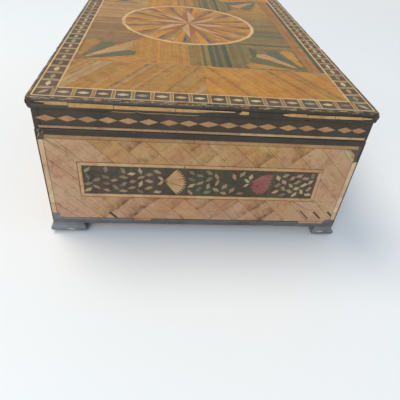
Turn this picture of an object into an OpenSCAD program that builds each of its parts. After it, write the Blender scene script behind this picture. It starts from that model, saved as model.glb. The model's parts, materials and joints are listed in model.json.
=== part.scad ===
// Straw-work keepsake box on low feet, with a hinged lid.
// X runs across the hinge side, Y along it, Z up. The origin is on the floor under the middle of the box.
// The front is towards -X and the hinges are on +X. The end towards -Y is the right end.

/* [Box] */
// Width of the box across the hinge side, over the straw
body_w = 200; // [170:1:260]
// Length of the box along the hinge side, over the straw
body_l = 320; // [260:1:420]
// Height from the top of the feet to the rim of the walls
body_h = 73; // [66:0.5:110]
// Thickness of the wall boards and of the lid rails
wall_t = 8; // [7:0.5:12]
// Thickness of the bottom board
bottom_t = 3; // [2.6:0.1:6]
// Depth of the rebates that house the end boards in the long boards
rebate_d = 4; // [2:0.5:5]
// Height of the dark band let in round the rim
rim_h = 3.8; // [2.4:0.1:5]
// Depth of the dark band round the rim, from the face inwards
rim_t = 1.6; // [1.2:0.1:2.4]
// Radius of the rim band's upper outer edge
rim_round = 0.8; // [0.3:0.1:1]
// Thickness of the lining paper
paper_t = 0.3; // [0.2:0.05:0.6]

/* [Feet] */
// Height of the feet
foot_h = 8.4; // [8:0.1:16]
// Width of the front feet, seen from an end
front_foot_w = 24; // [16:0.5:34]
// Width of the back feet, seen from an end
back_foot_w = 16; // [13:0.5:34]
// Length of the feet along the long sides
foot_l = 20; // [14:0.5:36]
// How far the feet stand out past the ends and the back
foot_proud = 1.4; // [0.8:0.1:1.8]
// How far the front feet stand out past the front
front_foot_proud = 2; // [0.8:0.1:2]
// Depth of the neck above the swelling of a foot
foot_neck_d = 1.6; // [1:0.1:2.4]
// Radius of the swelling of a foot
foot_round = 3.5; // [2.6:0.1:3.8]

/* [Lid] */
// Height of the rails under the lid board
rail_h = 12.1; // [11:0.1:24]
// Thickness of the lid edge
lid_t = 7.5; // [6.5:0.1:12]
// Overhang of the lid edge past the walls
lid_over = 2; // [1.9:0.1:5]
// Gap between the rim of the walls and the lid rails
lid_gap = 0.2; // [0.1:0.05:0.4]
// Width of the dark ledge between the lid's outer edge and the straw on it
lid_ledge = 3; // [2.2:0.1:4]
// Width of the mouldings round the lid board
edge_w = 6; // [4.5:0.5:9]
// Radius of the rounded edges of the lid mouldings
edge_round = 2; // [1:0.1:2.1]
// Height of the light line let into the lid mouldings
stripe_h = 2.2; // [1:0.1:2.4]
// Depth of the light line let into the lid mouldings
stripe_t = 0.3; // [0.2:0.05:0.6]
// Opening angle of the lid at its stop
open_angle = 105; // [90:1:120]

/* [Straw on the walls] */
// Thickness of the straw and of the light lines
veneer_t = 0.5; // [0.4:0.05:0.9]
// Thickness of the pieces laid on a dark ground
inlay_t = 0.2; // [0.15:0.05:0.3]
// Width of the dark line at each upright corner
corner_dark_w = 0.55; // [0.5:0.05:1.5]
// Width of the light line beside it
corner_light_w = 3.3; // [1.5:0.1:4]
// Height of the light line under the rim band
rim_line_h = 2.6; // [1:0.1:3]
// Height of the light line along the foot of the straw
base_line_h = 2; // [1:0.1:3]
// Distance of the flower panels from the upright corners
panel_margin = 21; // [14:1:40]
// Height of the flower panels above the bottom board's underside
panel_low = 23.5; // [14:0.5:28]
// Height of the flower panels over their frames
panel_h = 27.5; // [24:0.5:32]
// Width of the light frames round the flower panels
frame_w = 2.75; // [1.5:0.25:4]
// Distance from one flower to the next
flower_pitch = 56.5; // [48:0.5:80]
// Length of a cream fan flower
cream_l = 13.2; // [10:0.1:17]
// Length of a rose fan flower
rose_l = 15.4; // [10:0.1:17]
// Length of a loose leaf
leaf_l = 5.2; // [3.5:0.1:5.4]
// Width of a loose leaf
leaf_w = 2.2; // [1.2:0.1:2.8]

/* [Straw on the lid] */
// Width of the light line round the top
outer_line_w = 1.2; // [0.8:0.1:2]
// Width of the chequered border
border_w = 10.1; // [9:0.1:16]
// Distance from one cell of the border to the next
border_pitch = 11; // [9:0.1:16]
// Width of the light line inside the border
inner_line_w = 1.5; // [0.8:0.1:2.5]
// Width of the light bars across the border
divider_w = 2; // [1.2:0.1:3]
// Length of the lozenges in the border
border_lozenge_l = 6.8; // [3:0.1:7]
// Width of the lozenges in the border
border_lozenge_w = 3.4; // [1.5:0.1:4]
// Depth of the slanting straw bands at the two ends
band_d = 43.5; // [30:0.5:60]
// Width of the thin light line beside each band
band_line_w = 1; // [0.6:0.1:1.6]
// Width of the dark green strip along the back of the middle field
green_strip_w = 3; // [2:0.5:6]
// Width of the plain strip beside it
plain_strip_w = 9; // [5:0.5:14]
// Length of the lozenges on the lid rails
frieze_lozenge_l = 11; // [6:0.5:12]
// Height of the lozenges on the lid rails
frieze_lozenge_h = 4; // [2.5:0.1:5]
// Height of the light line on the lid rails
frieze_line_h = 1.7; // [1:0.1:2.2]

/* [Hinges] */
// Distance of a hinge's middle from the end of the box
hinge_inset = 70; // [40:1:100]
// Length of the hinge leaves
hinge_l = 30; // [26:1:40]
// Width of a hinge leaf, from the face of the wall
leaf_plate_w = 6.8; // [6:0.1:7]
// Thickness of a hinge leaf
leaf_plate_t = 0.8; // [0.6:0.1:1]
// Radius of the hinge knuckle
knuckle_r = 1.8; // [1.7:0.05:1.9]
// Radius of the hinge pin
pin_r = 0.9; // [0.7:0.05:1]
// Running clearance of the pin in the lid's knuckle
pin_clear = 0.05; // [0.03:0.01:0.1]
// Length of the hinge screws
screw_l = 8; // [6:0.5:9]

/* [Hidden] */
$fn = 48;

// The four sides, counted from the right end by way of the front
RIGHT = 0;
FRONT = 1;
LEFT = 2;
BACK = 3;
SIDES = [RIGHT, FRONT, LEFT, BACK];

// How far a cutting shape reaches past what it cuts, and the play left at a mitre
cut = 1;
seam = 0.05;

// Height of the light line in the lid edge above the edge's middle
stripe_up = 0.5;

// Heights from the floor
z_bottom = foot_h;
z_wall = z_bottom + bottom_t;
z_rim = z_bottom + body_h;
z_band = z_rim - rim_h;
z_line = z_band - rim_line_h;
z_base = z_wall + base_line_h;
z_rail = z_rim + lid_gap;
z_edge = z_rail + rail_h;
z_top = z_edge + lid_t;
z_veneer = z_top - veneer_t;
z_joint = z_rim + lid_gap / 2;
z_panel = z_bottom + panel_low;
z_stripe = z_edge + (lid_t - stripe_h) / 2 + stripe_up;

// Half sizes of the boards under the straw
core_x = body_w / 2 - veneer_t;
core_y = body_l / 2 - veneer_t;
top_in = lid_ledge - lid_over;
rail_x = body_w / 2 - inlay_t;
rail_y = body_l / 2 - inlay_t;
room_x = core_x - wall_t;
room_y = core_y - wall_t;

// Joinery
nail_r = 0.8;
nail_head_r = 1.7;
nail_head_t = 0.7;
nail_l = 16;
nail_pitch = 62;
knuckle_clear = 0.3;
screw_r = 0.75;
screw_head_r = 1.45;
slot_w = 0.4;
slot_d = 0.3;
screw_pitch = hinge_l / 3;
screw_set_back = 0.6;
lip_len = 3;
lip_drop = 3.4;
lip_out = knuckle_r;
stop_slack = 0.5;
hinge_x = body_w / 2;
hinge_y = body_l / 2 - hinge_inset;
knuckle_len = (hinge_l - 2 * lip_len) / 3;
leaf_clear = 0.1;

// Where the light line of the right lid edge is still there, as places across the box
stripe_left = [-body_w / 2, 14.5];
stripe_scrap = [17.5, 23.5];
stripe_right = [45, body_w / 2 - 3];

function side_w(side) = side % 2 == 0 ? body_w : body_l;
function side_half(side) = side % 2 == 0 ? body_l / 2 : body_w / 2;
function side_rail(side) = side_half(side) - inlay_t;

// A number from 0 to 1 that is always the same for the same two whole numbers
function noise(a, b) = let (n = sin(a * 127.1 + b * 311.7) * 437.585) n - floor(n);

module slab(from, to) {
    translate(from) cube(to - from);
}

// Turns what is drawn for the right end to the given side
module turn_to(side) {
    rotate([0, 0, -90 * side]) children();
}

// Draws flat on the face of a side: x to the right as seen from outside, y up, thickness outwards
module on_face(side, depth) {
    turn_to(side)
        translate([0, depth - side_half(side), 0])
            rotate([90, 0, 0]) children();
}

// A profile run along a side and mitred at both ends: x inwards from the outer face, y up
module mitred_run(run_l, half, depth) {
    intersection() {
        translate([-run_l / 2, -half, 0])
            rotate([90, 0, 90])
                linear_extrude(run_l) children();
        linear_extrude(z_top + cut)
            polygon([
                [seam - run_l / 2, -half],
                [run_l / 2 - seam, -half],
                [run_l / 2 - seam - depth, depth - half],
                [depth + seam - run_l / 2, depth - half]
            ]);
    }
}

// Four strips mitred into a rectangle
module mitred_frame(w, h, strip, t) {
    for (turn = [0:3]) {
        long = turn % 2 == 0 ? w / 2 : h / 2;
        far = turn % 2 == 0 ? h / 2 : w / 2;
        rotate([0, 0, 90 * turn])
            linear_extrude(t)
                polygon([
                    [seam - long, -far],
                    [long - seam, -far],
                    [long - seam - strip, strip - far],
                    [strip + seam - long, strip - far]
                ]);
    }
}

module lozenge(l, w, t) {
    linear_extrude(t) polygon([[-l / 2, 0], [0, -w / 2], [l / 2, 0], [0, w / 2]]);
}

// Hinges: every shape is drawn round the pin, x away from the wall, y along the pin, z up

module at_hinges() {
    for (place = [-hinge_y, hinge_y]) translate([hinge_x, place, z_joint]) children();
}

module along_pin(from, to, r) {
    translate([0, from, 0]) rotate([-90, 0, 0]) cylinder(h = to - from, r = r);
}

module hinge_room() {
    along_pin(-hinge_l / 2 - knuckle_clear, hinge_l / 2 + knuckle_clear, knuckle_r + knuckle_clear);
}

module leaf_room(up) {
    z = up > 0 ? lid_gap / 2 - cut : -lid_gap / 2 - leaf_plate_t;
    translate([-leaf_plate_w - leaf_clear, -hinge_l / 2 - leaf_clear, z])
        cube([leaf_plate_w + leaf_clear + cut, hinge_l + 2 * leaf_clear, leaf_plate_t + cut]);
}

module at_screws() {
    for (i = [-1:1]) translate([-leaf_plate_w / 2 - screw_set_back, i * screw_pitch, 0]) children();
}

// A countersunk screw with its head flush at the height 0, pointing down
module screw_shape() {
    rotate_extrude()
        polygon([
            [0, 0],
            [screw_head_r, 0],
            [screw_r, -leaf_plate_t],
            [screw_r, -screw_l + screw_r],
            [0, -screw_l]
        ]);
}

module screw() {
    difference() {
        screw_shape();
        translate([-slot_w / 2, -screw_head_r, -slot_d]) cube([slot_w, 2 * screw_head_r, slot_d + cut]);
    }
}

module body_leaf_screws() {
    translate([0, 0, -lid_gap / 2]) at_screws() children();
}

module lid_leaf_screws() {
    translate([0, 0, lid_gap / 2]) at_screws() mirror([0, 0, 1]) children();
}

// The lips behind the pin: they meet when the lid has turned by its opening angle
module lip_profile() {
    tilt = (open_angle + stop_slack) / 2;
    polygon([
        [-leaf_plate_w, -lid_gap / 2],
        [-leaf_plate_w, -lid_gap / 2 - leaf_plate_t],
        [0, -lid_gap / 2 - leaf_plate_t],
        [0, -lip_drop],
        [lip_out, -lip_drop],
        [lip_out, -lip_out * tan(tilt)],
        [lid_gap / 2 / tan(tilt), -lid_gap / 2]
    ]);
}

// One leaf, drawn below the joint: knuckles lists the stretches of the pin that it wraps
module leaf(knuckles, bore_r) {
    plate_z = -lid_gap / 2 - leaf_plate_t;
    inner = knuckle_r + knuckle_clear;
    difference() {
        union() {
            translate([-leaf_plate_w, -hinge_l / 2, plate_z])
                cube([leaf_plate_w - inner, hinge_l, leaf_plate_t]);
            for (stretch = knuckles) {
                along_pin(stretch[0], stretch[1], knuckle_r);
                translate([-inner - cut, stretch[0], plate_z])
                    cube([inner + cut, stretch[1] - stretch[0], leaf_plate_t]);
            }
            for (end = [-hinge_l / 2 + lip_len - leaf_clear, hinge_l / 2])
                translate([0, end, 0]) rotate([90, 0, 0]) linear_extrude(lip_len - leaf_clear) lip_profile();
        }
        for (stretch = knuckles) along_pin(stretch[0] - leaf_clear / 2, stretch[1] + leaf_clear / 2, bore_r);
        body_leaf_screws() screw_shape();
    }
}

module body_leaf() {
    reach = 1.5 * knuckle_len;
    joint = knuckle_len / 2 + leaf_clear;
    leaf([[-reach, -joint], [joint, reach]], pin_r);
}

module lid_leaf() {
    mirror([0, 0, 1]) leaf([[-knuckle_len / 2, knuckle_len / 2]], pin_r + pin_clear);
}

module hinge_pin(place) {
    color("darkgoldenrod")
        translate([hinge_x, place, z_joint]) along_pin(-1.5 * knuckle_len, 1.5 * knuckle_len, pin_r);
}

// Carcass

module at_nails() {
    for (end = [-1, 1]) {
        for (i = [-1.5:1.5]) translate([end * (room_x + wall_t / 2), i * nail_pitch, z_bottom]) children();
        for (i = [-1, 1]) translate([i * nail_pitch / 2, end * (room_y + wall_t / 2), z_bottom]) children();
    }
}

module nail() {
    cylinder(h = nail_l, r = nail_r);
    cylinder(h = nail_head_t, r = nail_head_r);
}

module bottom_nails() {
    color("dimgray") at_nails() nail();
}

module bottom_board() {
    color([0.23, 0.2, 0.18]) difference() {
        slab([-body_w / 2, -body_l / 2, z_bottom], [body_w / 2, body_l / 2, z_wall]);
        at_nails() nail();
    }
}

// What is cut from the outer top edge of the walls for the rim bands
module rim_room() {
    difference() {
        slab([-body_w, -body_l, z_band], [body_w, body_l, z_rim + cut]);
        slab(
            [rim_t - body_w / 2, rim_t - body_l / 2, z_band - cut],
            [body_w / 2 - rim_t, body_l / 2 - rim_t, z_rim + 2 * cut]
        );
    }
}

// A long board in the place of the front one, with its ends rebated for the end boards
module long_member(outer_x, outer_y, bottom, top) {
    difference() {
        slab([-outer_x, -outer_y, bottom], [wall_t - outer_x, outer_y, top]);
        for (y = [-outer_y - cut, outer_y - wall_t])
            translate([wall_t - rebate_d - outer_x, y, bottom - cut])
                cube([rebate_d + cut, wall_t + cut, top - bottom + 2 * cut]);
    }
}

// An end board in the place of the right one, reaching into the rebates
module end_member(outer_x, outer_y, bottom, top) {
    reach = outer_x - wall_t + rebate_d;
    slab([-reach, -outer_y, bottom], [reach, wall_t - outer_y, top]);
}

module long_board() {
    difference() {
        long_member(core_x, core_y, z_wall, z_rim);
        rim_room();
        at_nails() nail();
    }
}

module end_board() {
    difference() {
        end_member(core_x, core_y, z_wall, z_rim);
        rim_room();
        at_nails() nail();
    }
}

module front_board() {
    color("burlywood") long_board();
}

module back_board() {
    color("burlywood") difference() {
        rotate([0, 0, 180]) long_board();
        at_hinges() {
            hinge_room();
            leaf_room(-1);
            body_leaf_screws() screw_shape();
        }
    }
}

module right_end_board() {
    color("burlywood") end_board();
}

module left_end_board() {
    color("burlywood") rotate([0, 0, 180]) end_board();
}

// Feet: a neck under the board and a round swelling below it, the same from every side

foot_sole_t = 0.3;

module foot_profile(w) {
    swell_z = foot_round + foot_sole_t;
    translate([-w / 2 + foot_round, 0]) square([w - 2 * foot_round, 2 * foot_round]);
    for (end = [-1, 1]) translate([end * (w / 2 - foot_round), swell_z]) circle(foot_round);
    translate([-w / 2 + foot_neck_d, swell_z]) square([w - 2 * foot_neck_d, foot_h - swell_z]);
}

module foot(x_side, y_side, w, proud) {
    x = body_w / 2 + proud - w / 2;
    y = body_l / 2 + foot_proud - foot_l / 2;
    color([0.23, 0.2, 0.18])
        translate([x_side * x, y_side * y, 0])
            intersection() {
                translate([0, foot_l / 2, 0]) rotate([90, 0, 0]) linear_extrude(foot_l) foot_profile(w);
                translate([-w / 2, 0, 0]) rotate([90, 0, 90]) linear_extrude(w) foot_profile(foot_l);
            }
}

module foot_front_left() {
    foot(-1, 1, front_foot_w, front_foot_proud);
}

module foot_front_right() {
    foot(-1, -1, front_foot_w, front_foot_proud);
}

module foot_back_left() {
    foot(1, 1, back_foot_w, foot_proud);
}

module foot_back_right() {
    foot(1, -1, back_foot_w, foot_proud);
}

// Bands and lines round the walls

module rim_profile() {
    translate([0, z_band]) square([rim_t, rim_h - rim_round]);
    translate([rim_round, z_band]) square([rim_t - rim_round, rim_h]);
    translate([rim_round, z_rim - rim_round]) circle(rim_round);
}

module rim_bands() {
    color([0.23, 0.2, 0.18]) difference() {
        for (side = SIDES) turn_to(side) mitred_run(side_w(side), side_half(side), rim_t) rim_profile();
        at_hinges() {
            hinge_room();
            leaf_room(-1);
        }
    }
}

module rim_lines() {
    reach = corner_dark_w;
    color("burlywood") for (side = SIDES)
        on_face(side, veneer_t)
            translate([reach - side_w(side) / 2, z_line, 0])
                cube([side_w(side) - 2 * reach, rim_line_h, veneer_t]);
}

function field_w(side) = side_w(side) - 2 * (corner_dark_w + corner_light_w);

module base_lines() {
    color("burlywood") for (side = SIDES)
        on_face(side, veneer_t)
            translate([-field_w(side) / 2, z_wall, 0]) cube([field_w(side), base_line_h, veneer_t]);
}

// The dark upright lines are angle strips that wrap the corners
module corner_lines() {
    color([0.23, 0.2, 0.18]) for (x_side = [-1, 1], y_side = [-1, 1])
        translate([x_side * body_w / 2, y_side * body_l / 2, z_wall])
            mirror([x_side > 0 ? 1 : 0, 0, 0])
                mirror([0, y_side > 0 ? 1 : 0, 0])
                    linear_extrude(z_band - z_wall) difference() {
                        square(corner_dark_w);
                        translate([veneer_t, veneer_t]) square(corner_dark_w);
                    }
}

module corner_stringing() {
    color("burlywood") for (side = SIDES, end = [-1, 1])
        on_face(side, veneer_t)
            translate([end * (side_w(side) - corner_light_w) / 2 - end * corner_dark_w, z_wall, 0])
                translate([-corner_light_w / 2, 0, 0]) cube([corner_light_w, z_line - z_wall, veneer_t]);
}

// The straw field of one side, with a window for the framed flower panel
module straw_field(side) {
    window_w = side_w(side) - 2 * panel_margin;
    color("tan") on_face(side, veneer_t) difference() {
        translate([-field_w(side) / 2, z_base, 0]) cube([field_w(side), z_line - z_base, veneer_t]);
        translate([-window_w / 2, z_panel, -cut]) cube([window_w, panel_h, veneer_t + 2 * cut]);
    }
}

module straw_front() {
    straw_field(FRONT);
}

module straw_back() {
    straw_field(BACK);
}

module straw_left() {
    straw_field(LEFT);
}

module straw_right() {
    straw_field(RIGHT);
}

module panel_frames() {
    color("burlywood") for (side = SIDES)
        on_face(side, veneer_t)
            translate([0, z_panel + panel_h / 2, 0])
                mitred_frame(side_w(side) - 2 * panel_margin, panel_h, frame_w, veneer_t);
}

function ground_w(side) = side_w(side) - 2 * panel_margin - 2 * frame_w;

ground_h = panel_h - 2 * frame_w;

module panel_grounds() {
    color([0.27, 0.25, 0.22]) for (side = SIDES)
        on_face(side, veneer_t)
            translate([-ground_w(side) / 2, z_panel + frame_w, 0])
                cube([ground_w(side), ground_h, veneer_t - inlay_t]);
}

// Flower panels. The first flower stands left of the middle and the others follow at an even pitch.

flower_h = ground_h - 1;
flower_first = -22;
fan_spread = 62;
fan_teeth = 14;
slit_w = 0.35;
slit_from = 0.3;
slit_reach = 0.5;
cream_h = flower_h;
cream_tooth_d = 1.1;
rose_h = 0.8 * flower_h;
rose_tooth_d = 1.7;
rose_lean = 8;
leaf_back = 0.62;
leaf_aside = 0.36;
leaf_lean = 32;
row_pitch = 5.3;
column_pitch = 6.2;
sway = 0.35;
edge_gap = 2.6;
end_room = 12;
flower_l = max(cream_l, rose_l);
tip_room = flower_l + 6;

// How far leaves stay from a flower, in leaf lengths: behind its foot, past its tip and beside it
clear_behind = 1.6;
clear_ahead = 0.65;
clear_beside = 1.25;

function flower_places(side) = [
    for (i = [-8:8])
        let (u = flower_first + i * flower_pitch)
            if (u > end_room - ground_w(side) / 2 && u < ground_w(side) / 2 - tip_room) [u, abs(i) % 2]
];

// A point on the toothed edge of a fan: full is its reach straight ahead
function fan_point(i, full, half_h, tooth_d) =
    let (
        a = -fan_spread + fan_spread * i / fan_teeth,
        side_reach = half_h / sin(fan_spread),
        r = full + (side_reach - full) * pow(abs(a) / fan_spread, 2) - (i % 2 == 0 ? 0 : tooth_d)
    )
    [r * cos(a), r * sin(a)];

module fan(full, half_h, tooth_d, slits) {
    linear_extrude(inlay_t) difference() {
        polygon(concat([[0, 0]], [for (i = [0:2 * fan_teeth]) fan_point(i, full, half_h, tooth_d)]));
        for (a = slits)
            rotate(a) translate([full * slit_from, -slit_w / 2]) square([full * slit_reach, slit_w]);
    }
}

// The two small leaves that hold a fan at its foot
module fan_leaves() {
    for (end = [-1, 1])
        translate([-leaf_l * leaf_back, end * leaf_l * leaf_aside, 0])
            rotate([0, 0, end * -leaf_lean]) lozenge(leaf_l, leaf_w, inlay_t);
}

module flower(kind) {
    if (kind == 0) {
        fan(cream_l, cream_h / 2, cream_tooth_d, [-40, -14, 14, 40]);
    } else {
        rotate([0, 0, rose_lean]) fan(rose_l, rose_h / 2, rose_tooth_d, [-30, 0, 30]);
    }
    fan_leaves();
}

// Whether a leaf at u, v stays clear of the flower that stands at f
function clear_of(u, v, f) =
    let (along = u - f)
    along < -leaf_l * clear_behind ||
    along > flower_l + leaf_l * clear_ahead ||
    abs(v) > max(0, along) + leaf_l * clear_beside;

function clear_of_all(u, v, flowers) = len([for (f = flowers) if (!clear_of(u, v, f[0])) 1]) == 0;

// Loose leaves stand in staggered columns of four and three, each swayed a little from its place
module loose_leaves(side) {
    flowers = flower_places(side);
    usable = ground_w(side) - 2 * edge_gap;
    columns = floor(usable / column_pitch);
    rows_most = floor((ground_h - 2 * edge_gap) / row_pitch) + 1;
    for (c = [0:columns]) {
        rows = rows_most - c % 2;
        for (r = [0:rows - 1]) {
            u = (c - columns / 2) * column_pitch + sway * (2 * noise(c, r + 7 * side) - 1);
            v = (r - (rows - 1) / 2) * row_pitch + sway * (2 * noise(r + 3, c + 5 * side) - 1);
            turn = 20 * sin(c * 47 + r * 130) + 38 * (2 * noise(c + 11, r + side) - 1);
            if (clear_of_all(u, v, flowers))
                translate([u, v, 0]) rotate([0, 0, turn]) lozenge(leaf_l, leaf_w, inlay_t);
        }
    }
}

module flower_panel(side) {
    color("wheat") on_face(side, inlay_t)
        translate([0, z_panel + panel_h / 2, 0]) {
            for (f = flower_places(side)) translate([f[0], 0, 0]) flower(f[1]);
            loose_leaves(side);
        }
}

module flowers_front() {
    flower_panel(FRONT);
}

module flowers_back() {
    flower_panel(BACK);
}

module flowers_left() {
    flower_panel(LEFT);
}

module flowers_right() {
    flower_panel(RIGHT);
}

// Lining

module wall_lining() {
    color("lightsteelblue") {
        for (end = [0, 180]) rotate([0, 0, end]) {
            slab([-room_x, -room_y, z_wall], [paper_t - room_x, room_y, z_rim - rim_h]);
            slab(
                [paper_t - room_x, -room_y, z_wall],
                [room_x - paper_t, paper_t - room_y, z_rim - rim_h]
            );
        }
    }
}

module floor_lining() {
    reach_x = room_x - paper_t;
    reach_y = room_y - paper_t;
    color("lightsteelblue") slab([-reach_x, -reach_y, z_wall], [reach_x, reach_y, z_wall + paper_t]);
}

module lid_lining() {
    reach_x = rail_x - wall_t;
    reach_y = rail_y - wall_t;
    color("lightsteelblue") slab([-reach_x, -reach_y, z_edge - paper_t], [reach_x, reach_y, z_edge]);
}

// Lid

module lid_board() {
    reach_x = body_w / 2 + lid_over - edge_w;
    reach_y = body_l / 2 + lid_over - edge_w;
    color("burlywood") slab([-reach_x, -reach_y, z_edge], [reach_x, reach_y, z_veneer]);
}

module lid_rail_front() {
    color([0.23, 0.2, 0.18]) long_member(rail_x, rail_y, z_rail, z_edge);
}

module lid_rail_back() {
    color([0.23, 0.2, 0.18]) difference() {
        rotate([0, 0, 180]) long_member(rail_x, rail_y, z_rail, z_edge);
        at_hinges() {
            hinge_room();
            leaf_room(1);
            lid_leaf_screws() screw_shape();
        }
    }
}

module lid_rail_right() {
    color([0.23, 0.2, 0.18]) end_member(rail_x, rail_y, z_rail, z_edge);
}

module lid_rail_left() {
    color([0.23, 0.2, 0.18]) rotate([0, 0, 180]) end_member(rail_x, rail_y, z_rail, z_edge);
}

// The edge moulding: flat on top as far as the straw, rounded outside, with a groove for the light line
module edge_profile() {
    difference() {
        union() {
            translate([edge_round, z_edge]) square([edge_w - edge_round, lid_t]);
            translate([0, z_edge + edge_round]) square([edge_w, lid_t - 2 * edge_round]);
            for (z = [z_edge + edge_round, z_top - edge_round]) translate([edge_round, z]) circle(edge_round);
        }
        translate([lid_ledge, z_veneer]) square([edge_w, veneer_t + cut]);
        translate([-cut, z_stripe]) square([stripe_t + cut, stripe_h]);
    }
}

module lid_edge(side) {
    color([0.23, 0.2, 0.18]) turn_to(side)
        mitred_run(side_w(side) + 2 * lid_over, side_half(side) + lid_over, edge_w) edge_profile();
}

module lid_edge_front() {
    lid_edge(FRONT);
}

module lid_edge_back() {
    lid_edge(BACK);
}

module lid_edge_left() {
    lid_edge(LEFT);
}

module lid_edge_right() {
    lid_edge(RIGHT);
}

module stripe(side, from, to) {
    turn_to(side)
        translate([from, -side_half(side) - lid_over, z_stripe]) cube([to - from, stripe_t, stripe_h]);
}

// The light line is whole on three edges and has lost a stretch on the right one
module edge_stringing() {
    color("burlywood") {
        for (side = [FRONT, LEFT, BACK]) stripe(side, -side_w(side) / 2, side_w(side) / 2);
        for (stretch = [stripe_left, stripe_scrap, stripe_right]) stripe(RIGHT, stretch[0], stretch[1]);
    }
}

// Frieze on the lid rails

frieze_end = 1.8;
frieze_low = 0.4;
frieze_gap = 0.4;
frieze_z = z_rail + (rail_h + frieze_line_h) / 2;

module frieze_lozenges() {
    color("burlywood") for (side = SIDES) {
        run = side_w(side) - 2 * frieze_end;
        count = floor(run / (frieze_lozenge_l + frieze_gap));
        pitch = run / count;
        on_face(side, inlay_t)
            for (i = [0:count - 1])
                translate([(i + 0.5) * pitch - run / 2, frieze_z, 0])
                    lozenge(frieze_lozenge_l, frieze_lozenge_h, inlay_t);
    }
}

module frieze_lines() {
    color("burlywood") difference() {
        for (side = SIDES)
            on_face(side, inlay_t)
                translate([frieze_end - side_w(side) / 2, z_rail + frieze_low, 0])
                    cube([side_w(side) - 2 * frieze_end, frieze_line_h, inlay_t]);
        at_hinges()
            translate([-cut, -hinge_l / 2 - knuckle_clear, 0])
                cube([2 * cut, hinge_l + 2 * knuckle_clear, rail_h / 2]);
    }
}

// Top of the lid

border_in = top_in + outer_line_w;
line_in = border_in + border_w;
field_in = line_in + inner_line_w;
field_x = body_w / 2 - field_in;
field_y = body_l / 2 - field_in;
picture_y = field_y - band_d;

module lid_outer_line() {
    color("burlywood") translate([0, 0, z_veneer])
        mitred_frame(body_w - 2 * top_in, body_l - 2 * top_in, outer_line_w, veneer_t);
}

module lid_inner_line() {
    color("burlywood") translate([0, 0, z_veneer])
        mitred_frame(body_w - 2 * line_in, body_l - 2 * line_in, inner_line_w, veneer_t);
}

module border_ground() {
    color([0.27, 0.25, 0.22]) translate([0, 0, z_veneer])
        mitred_frame(body_w - 2 * border_in, body_l - 2 * border_in, border_w, veneer_t - inlay_t);
}

function cells(side) = round((side_w(side) - 2 * line_in) / border_pitch);

// Runs its children at each cell boundary, or at each cell's middle with half = 0.5
module along_border(side, half) {
    run = side_w(side) - 2 * line_in;
    pitch = run / cells(side);
    middle_y = border_in + border_w / 2 - side_half(side);
    turn_to(side)
        for (i = [0:cells(side) - 2 * half])
            translate([(i + half) * pitch - run / 2, middle_y, z_top - inlay_t]) children();
}

module border_dividers() {
    color("burlywood") for (side = SIDES)
        along_border(side, 0)
            translate([-divider_w / 2, -border_w / 2, 0]) cube([divider_w, border_w, inlay_t]);
}

module border_lozenges() {
    corner_in = border_in + border_w / 2;
    color("wheat") {
        for (side = SIDES) along_border(side, 0.5) lozenge(border_lozenge_l, border_lozenge_w, inlay_t);
        for (side = SIDES)
            turn_to(side)
                translate([corner_in - side_w(side) / 2, corner_in - side_half(side), z_top - inlay_t])
                    rotate([0, 0, 45]) lozenge(border_lozenge_l, border_lozenge_w, inlay_t);
    }
}

module straw_band() {
    slab([-field_x, -field_y, z_veneer], [field_x, -picture_y, z_top]);
}

module straw_band_right() {
    color("goldenrod") straw_band();
}

module straw_band_left() {
    color("goldenrod") rotate([0, 0, 180]) straw_band();
}

// The middle field: light lines at its two ends and two plain strips along the back

strips_x = field_x - green_strip_w - plain_strip_w;
inside_y = picture_y - band_line_w;

module picture_lines() {
    color("burlywood") for (end = [-1, 1])
        translate([-field_x, end * (picture_y - band_line_w / 2) - band_line_w / 2, z_veneer])
            cube([2 * field_x, band_line_w, veneer_t]);
}

module green_strip() {
    color("darkolivegreen") slab([field_x - green_strip_w, -inside_y, z_veneer], [field_x, inside_y, z_top]);
}

module plain_strip() {
    color("peru") slab([strips_x, -inside_y, z_veneer], [field_x - green_strip_w, inside_y, z_top]);
}

module picture_ground() {
    color("tan") slab([-field_x, -inside_y, z_veneer], [strips_x, inside_y, z_top - inlay_t]);
}

// A plain star in a ring of rays, and a quarter fan in each corner

star_points = 8;
star_r = 42;
star_waist = 0.42;
ring_r = 58;
ring_t = 3;
ring_gap = 1;
ray_count = 32;
ray_in = 47;
corner_r = 40;
corner_rays = 5;
corner_in_r = 8;
corner_peak = 1.08;
corner_split = 1.2;
inlay_gap = 0.4;
star_split = 0.6;
waist_split = 1;

module star_half(a, dir) {
    step = 180 / star_points;
    linear_extrude(inlay_t)
        polygon([
            inlay_gap * [cos(a + dir * step / 2), sin(a + dir * step / 2)],
            star_r * [cos(a), sin(a)],
            star_r * star_waist * [cos(a + dir * (step - waist_split)), sin(a + dir * (step - waist_split))]
        ]);
}

module picture_inlay() {
    middle_x = (strips_x - field_x) / 2;
    half_x = (strips_x + field_x) / 2;
    color("peru") translate([middle_x, 0, z_top - inlay_t]) {
        for (i = [0:star_points - 1], dir = [-1, 1]) star_half(i * 360 / star_points + dir * star_split, dir);
        for (i = [0:ray_count - 1])
            rotate([0, 0, (i + 0.5) * 360 / ray_count])
                translate([ray_in, 0, 0]) lozenge(2 * leaf_l, leaf_w, inlay_t);
        difference() {
            cylinder(h = inlay_t, r = ring_r, $fn = 96);
            translate([0, 0, -cut]) cylinder(h = inlay_t + 2 * cut, r = ring_r - ring_t, $fn = 96);
        }
        for (x_side = [-1, 1], y_side = [-1, 1], i = [0:corner_rays - 1])
            mirror([x_side < 0 ? 0 : 1, 0, 0])
                mirror([0, y_side < 0 ? 0 : 1, 0])
                    translate([ring_gap - half_x, ring_gap - inside_y, 0])
                        rotate([0, 0, i * 90 / corner_rays]) corner_ray(90 / corner_rays);
    }
}

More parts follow.
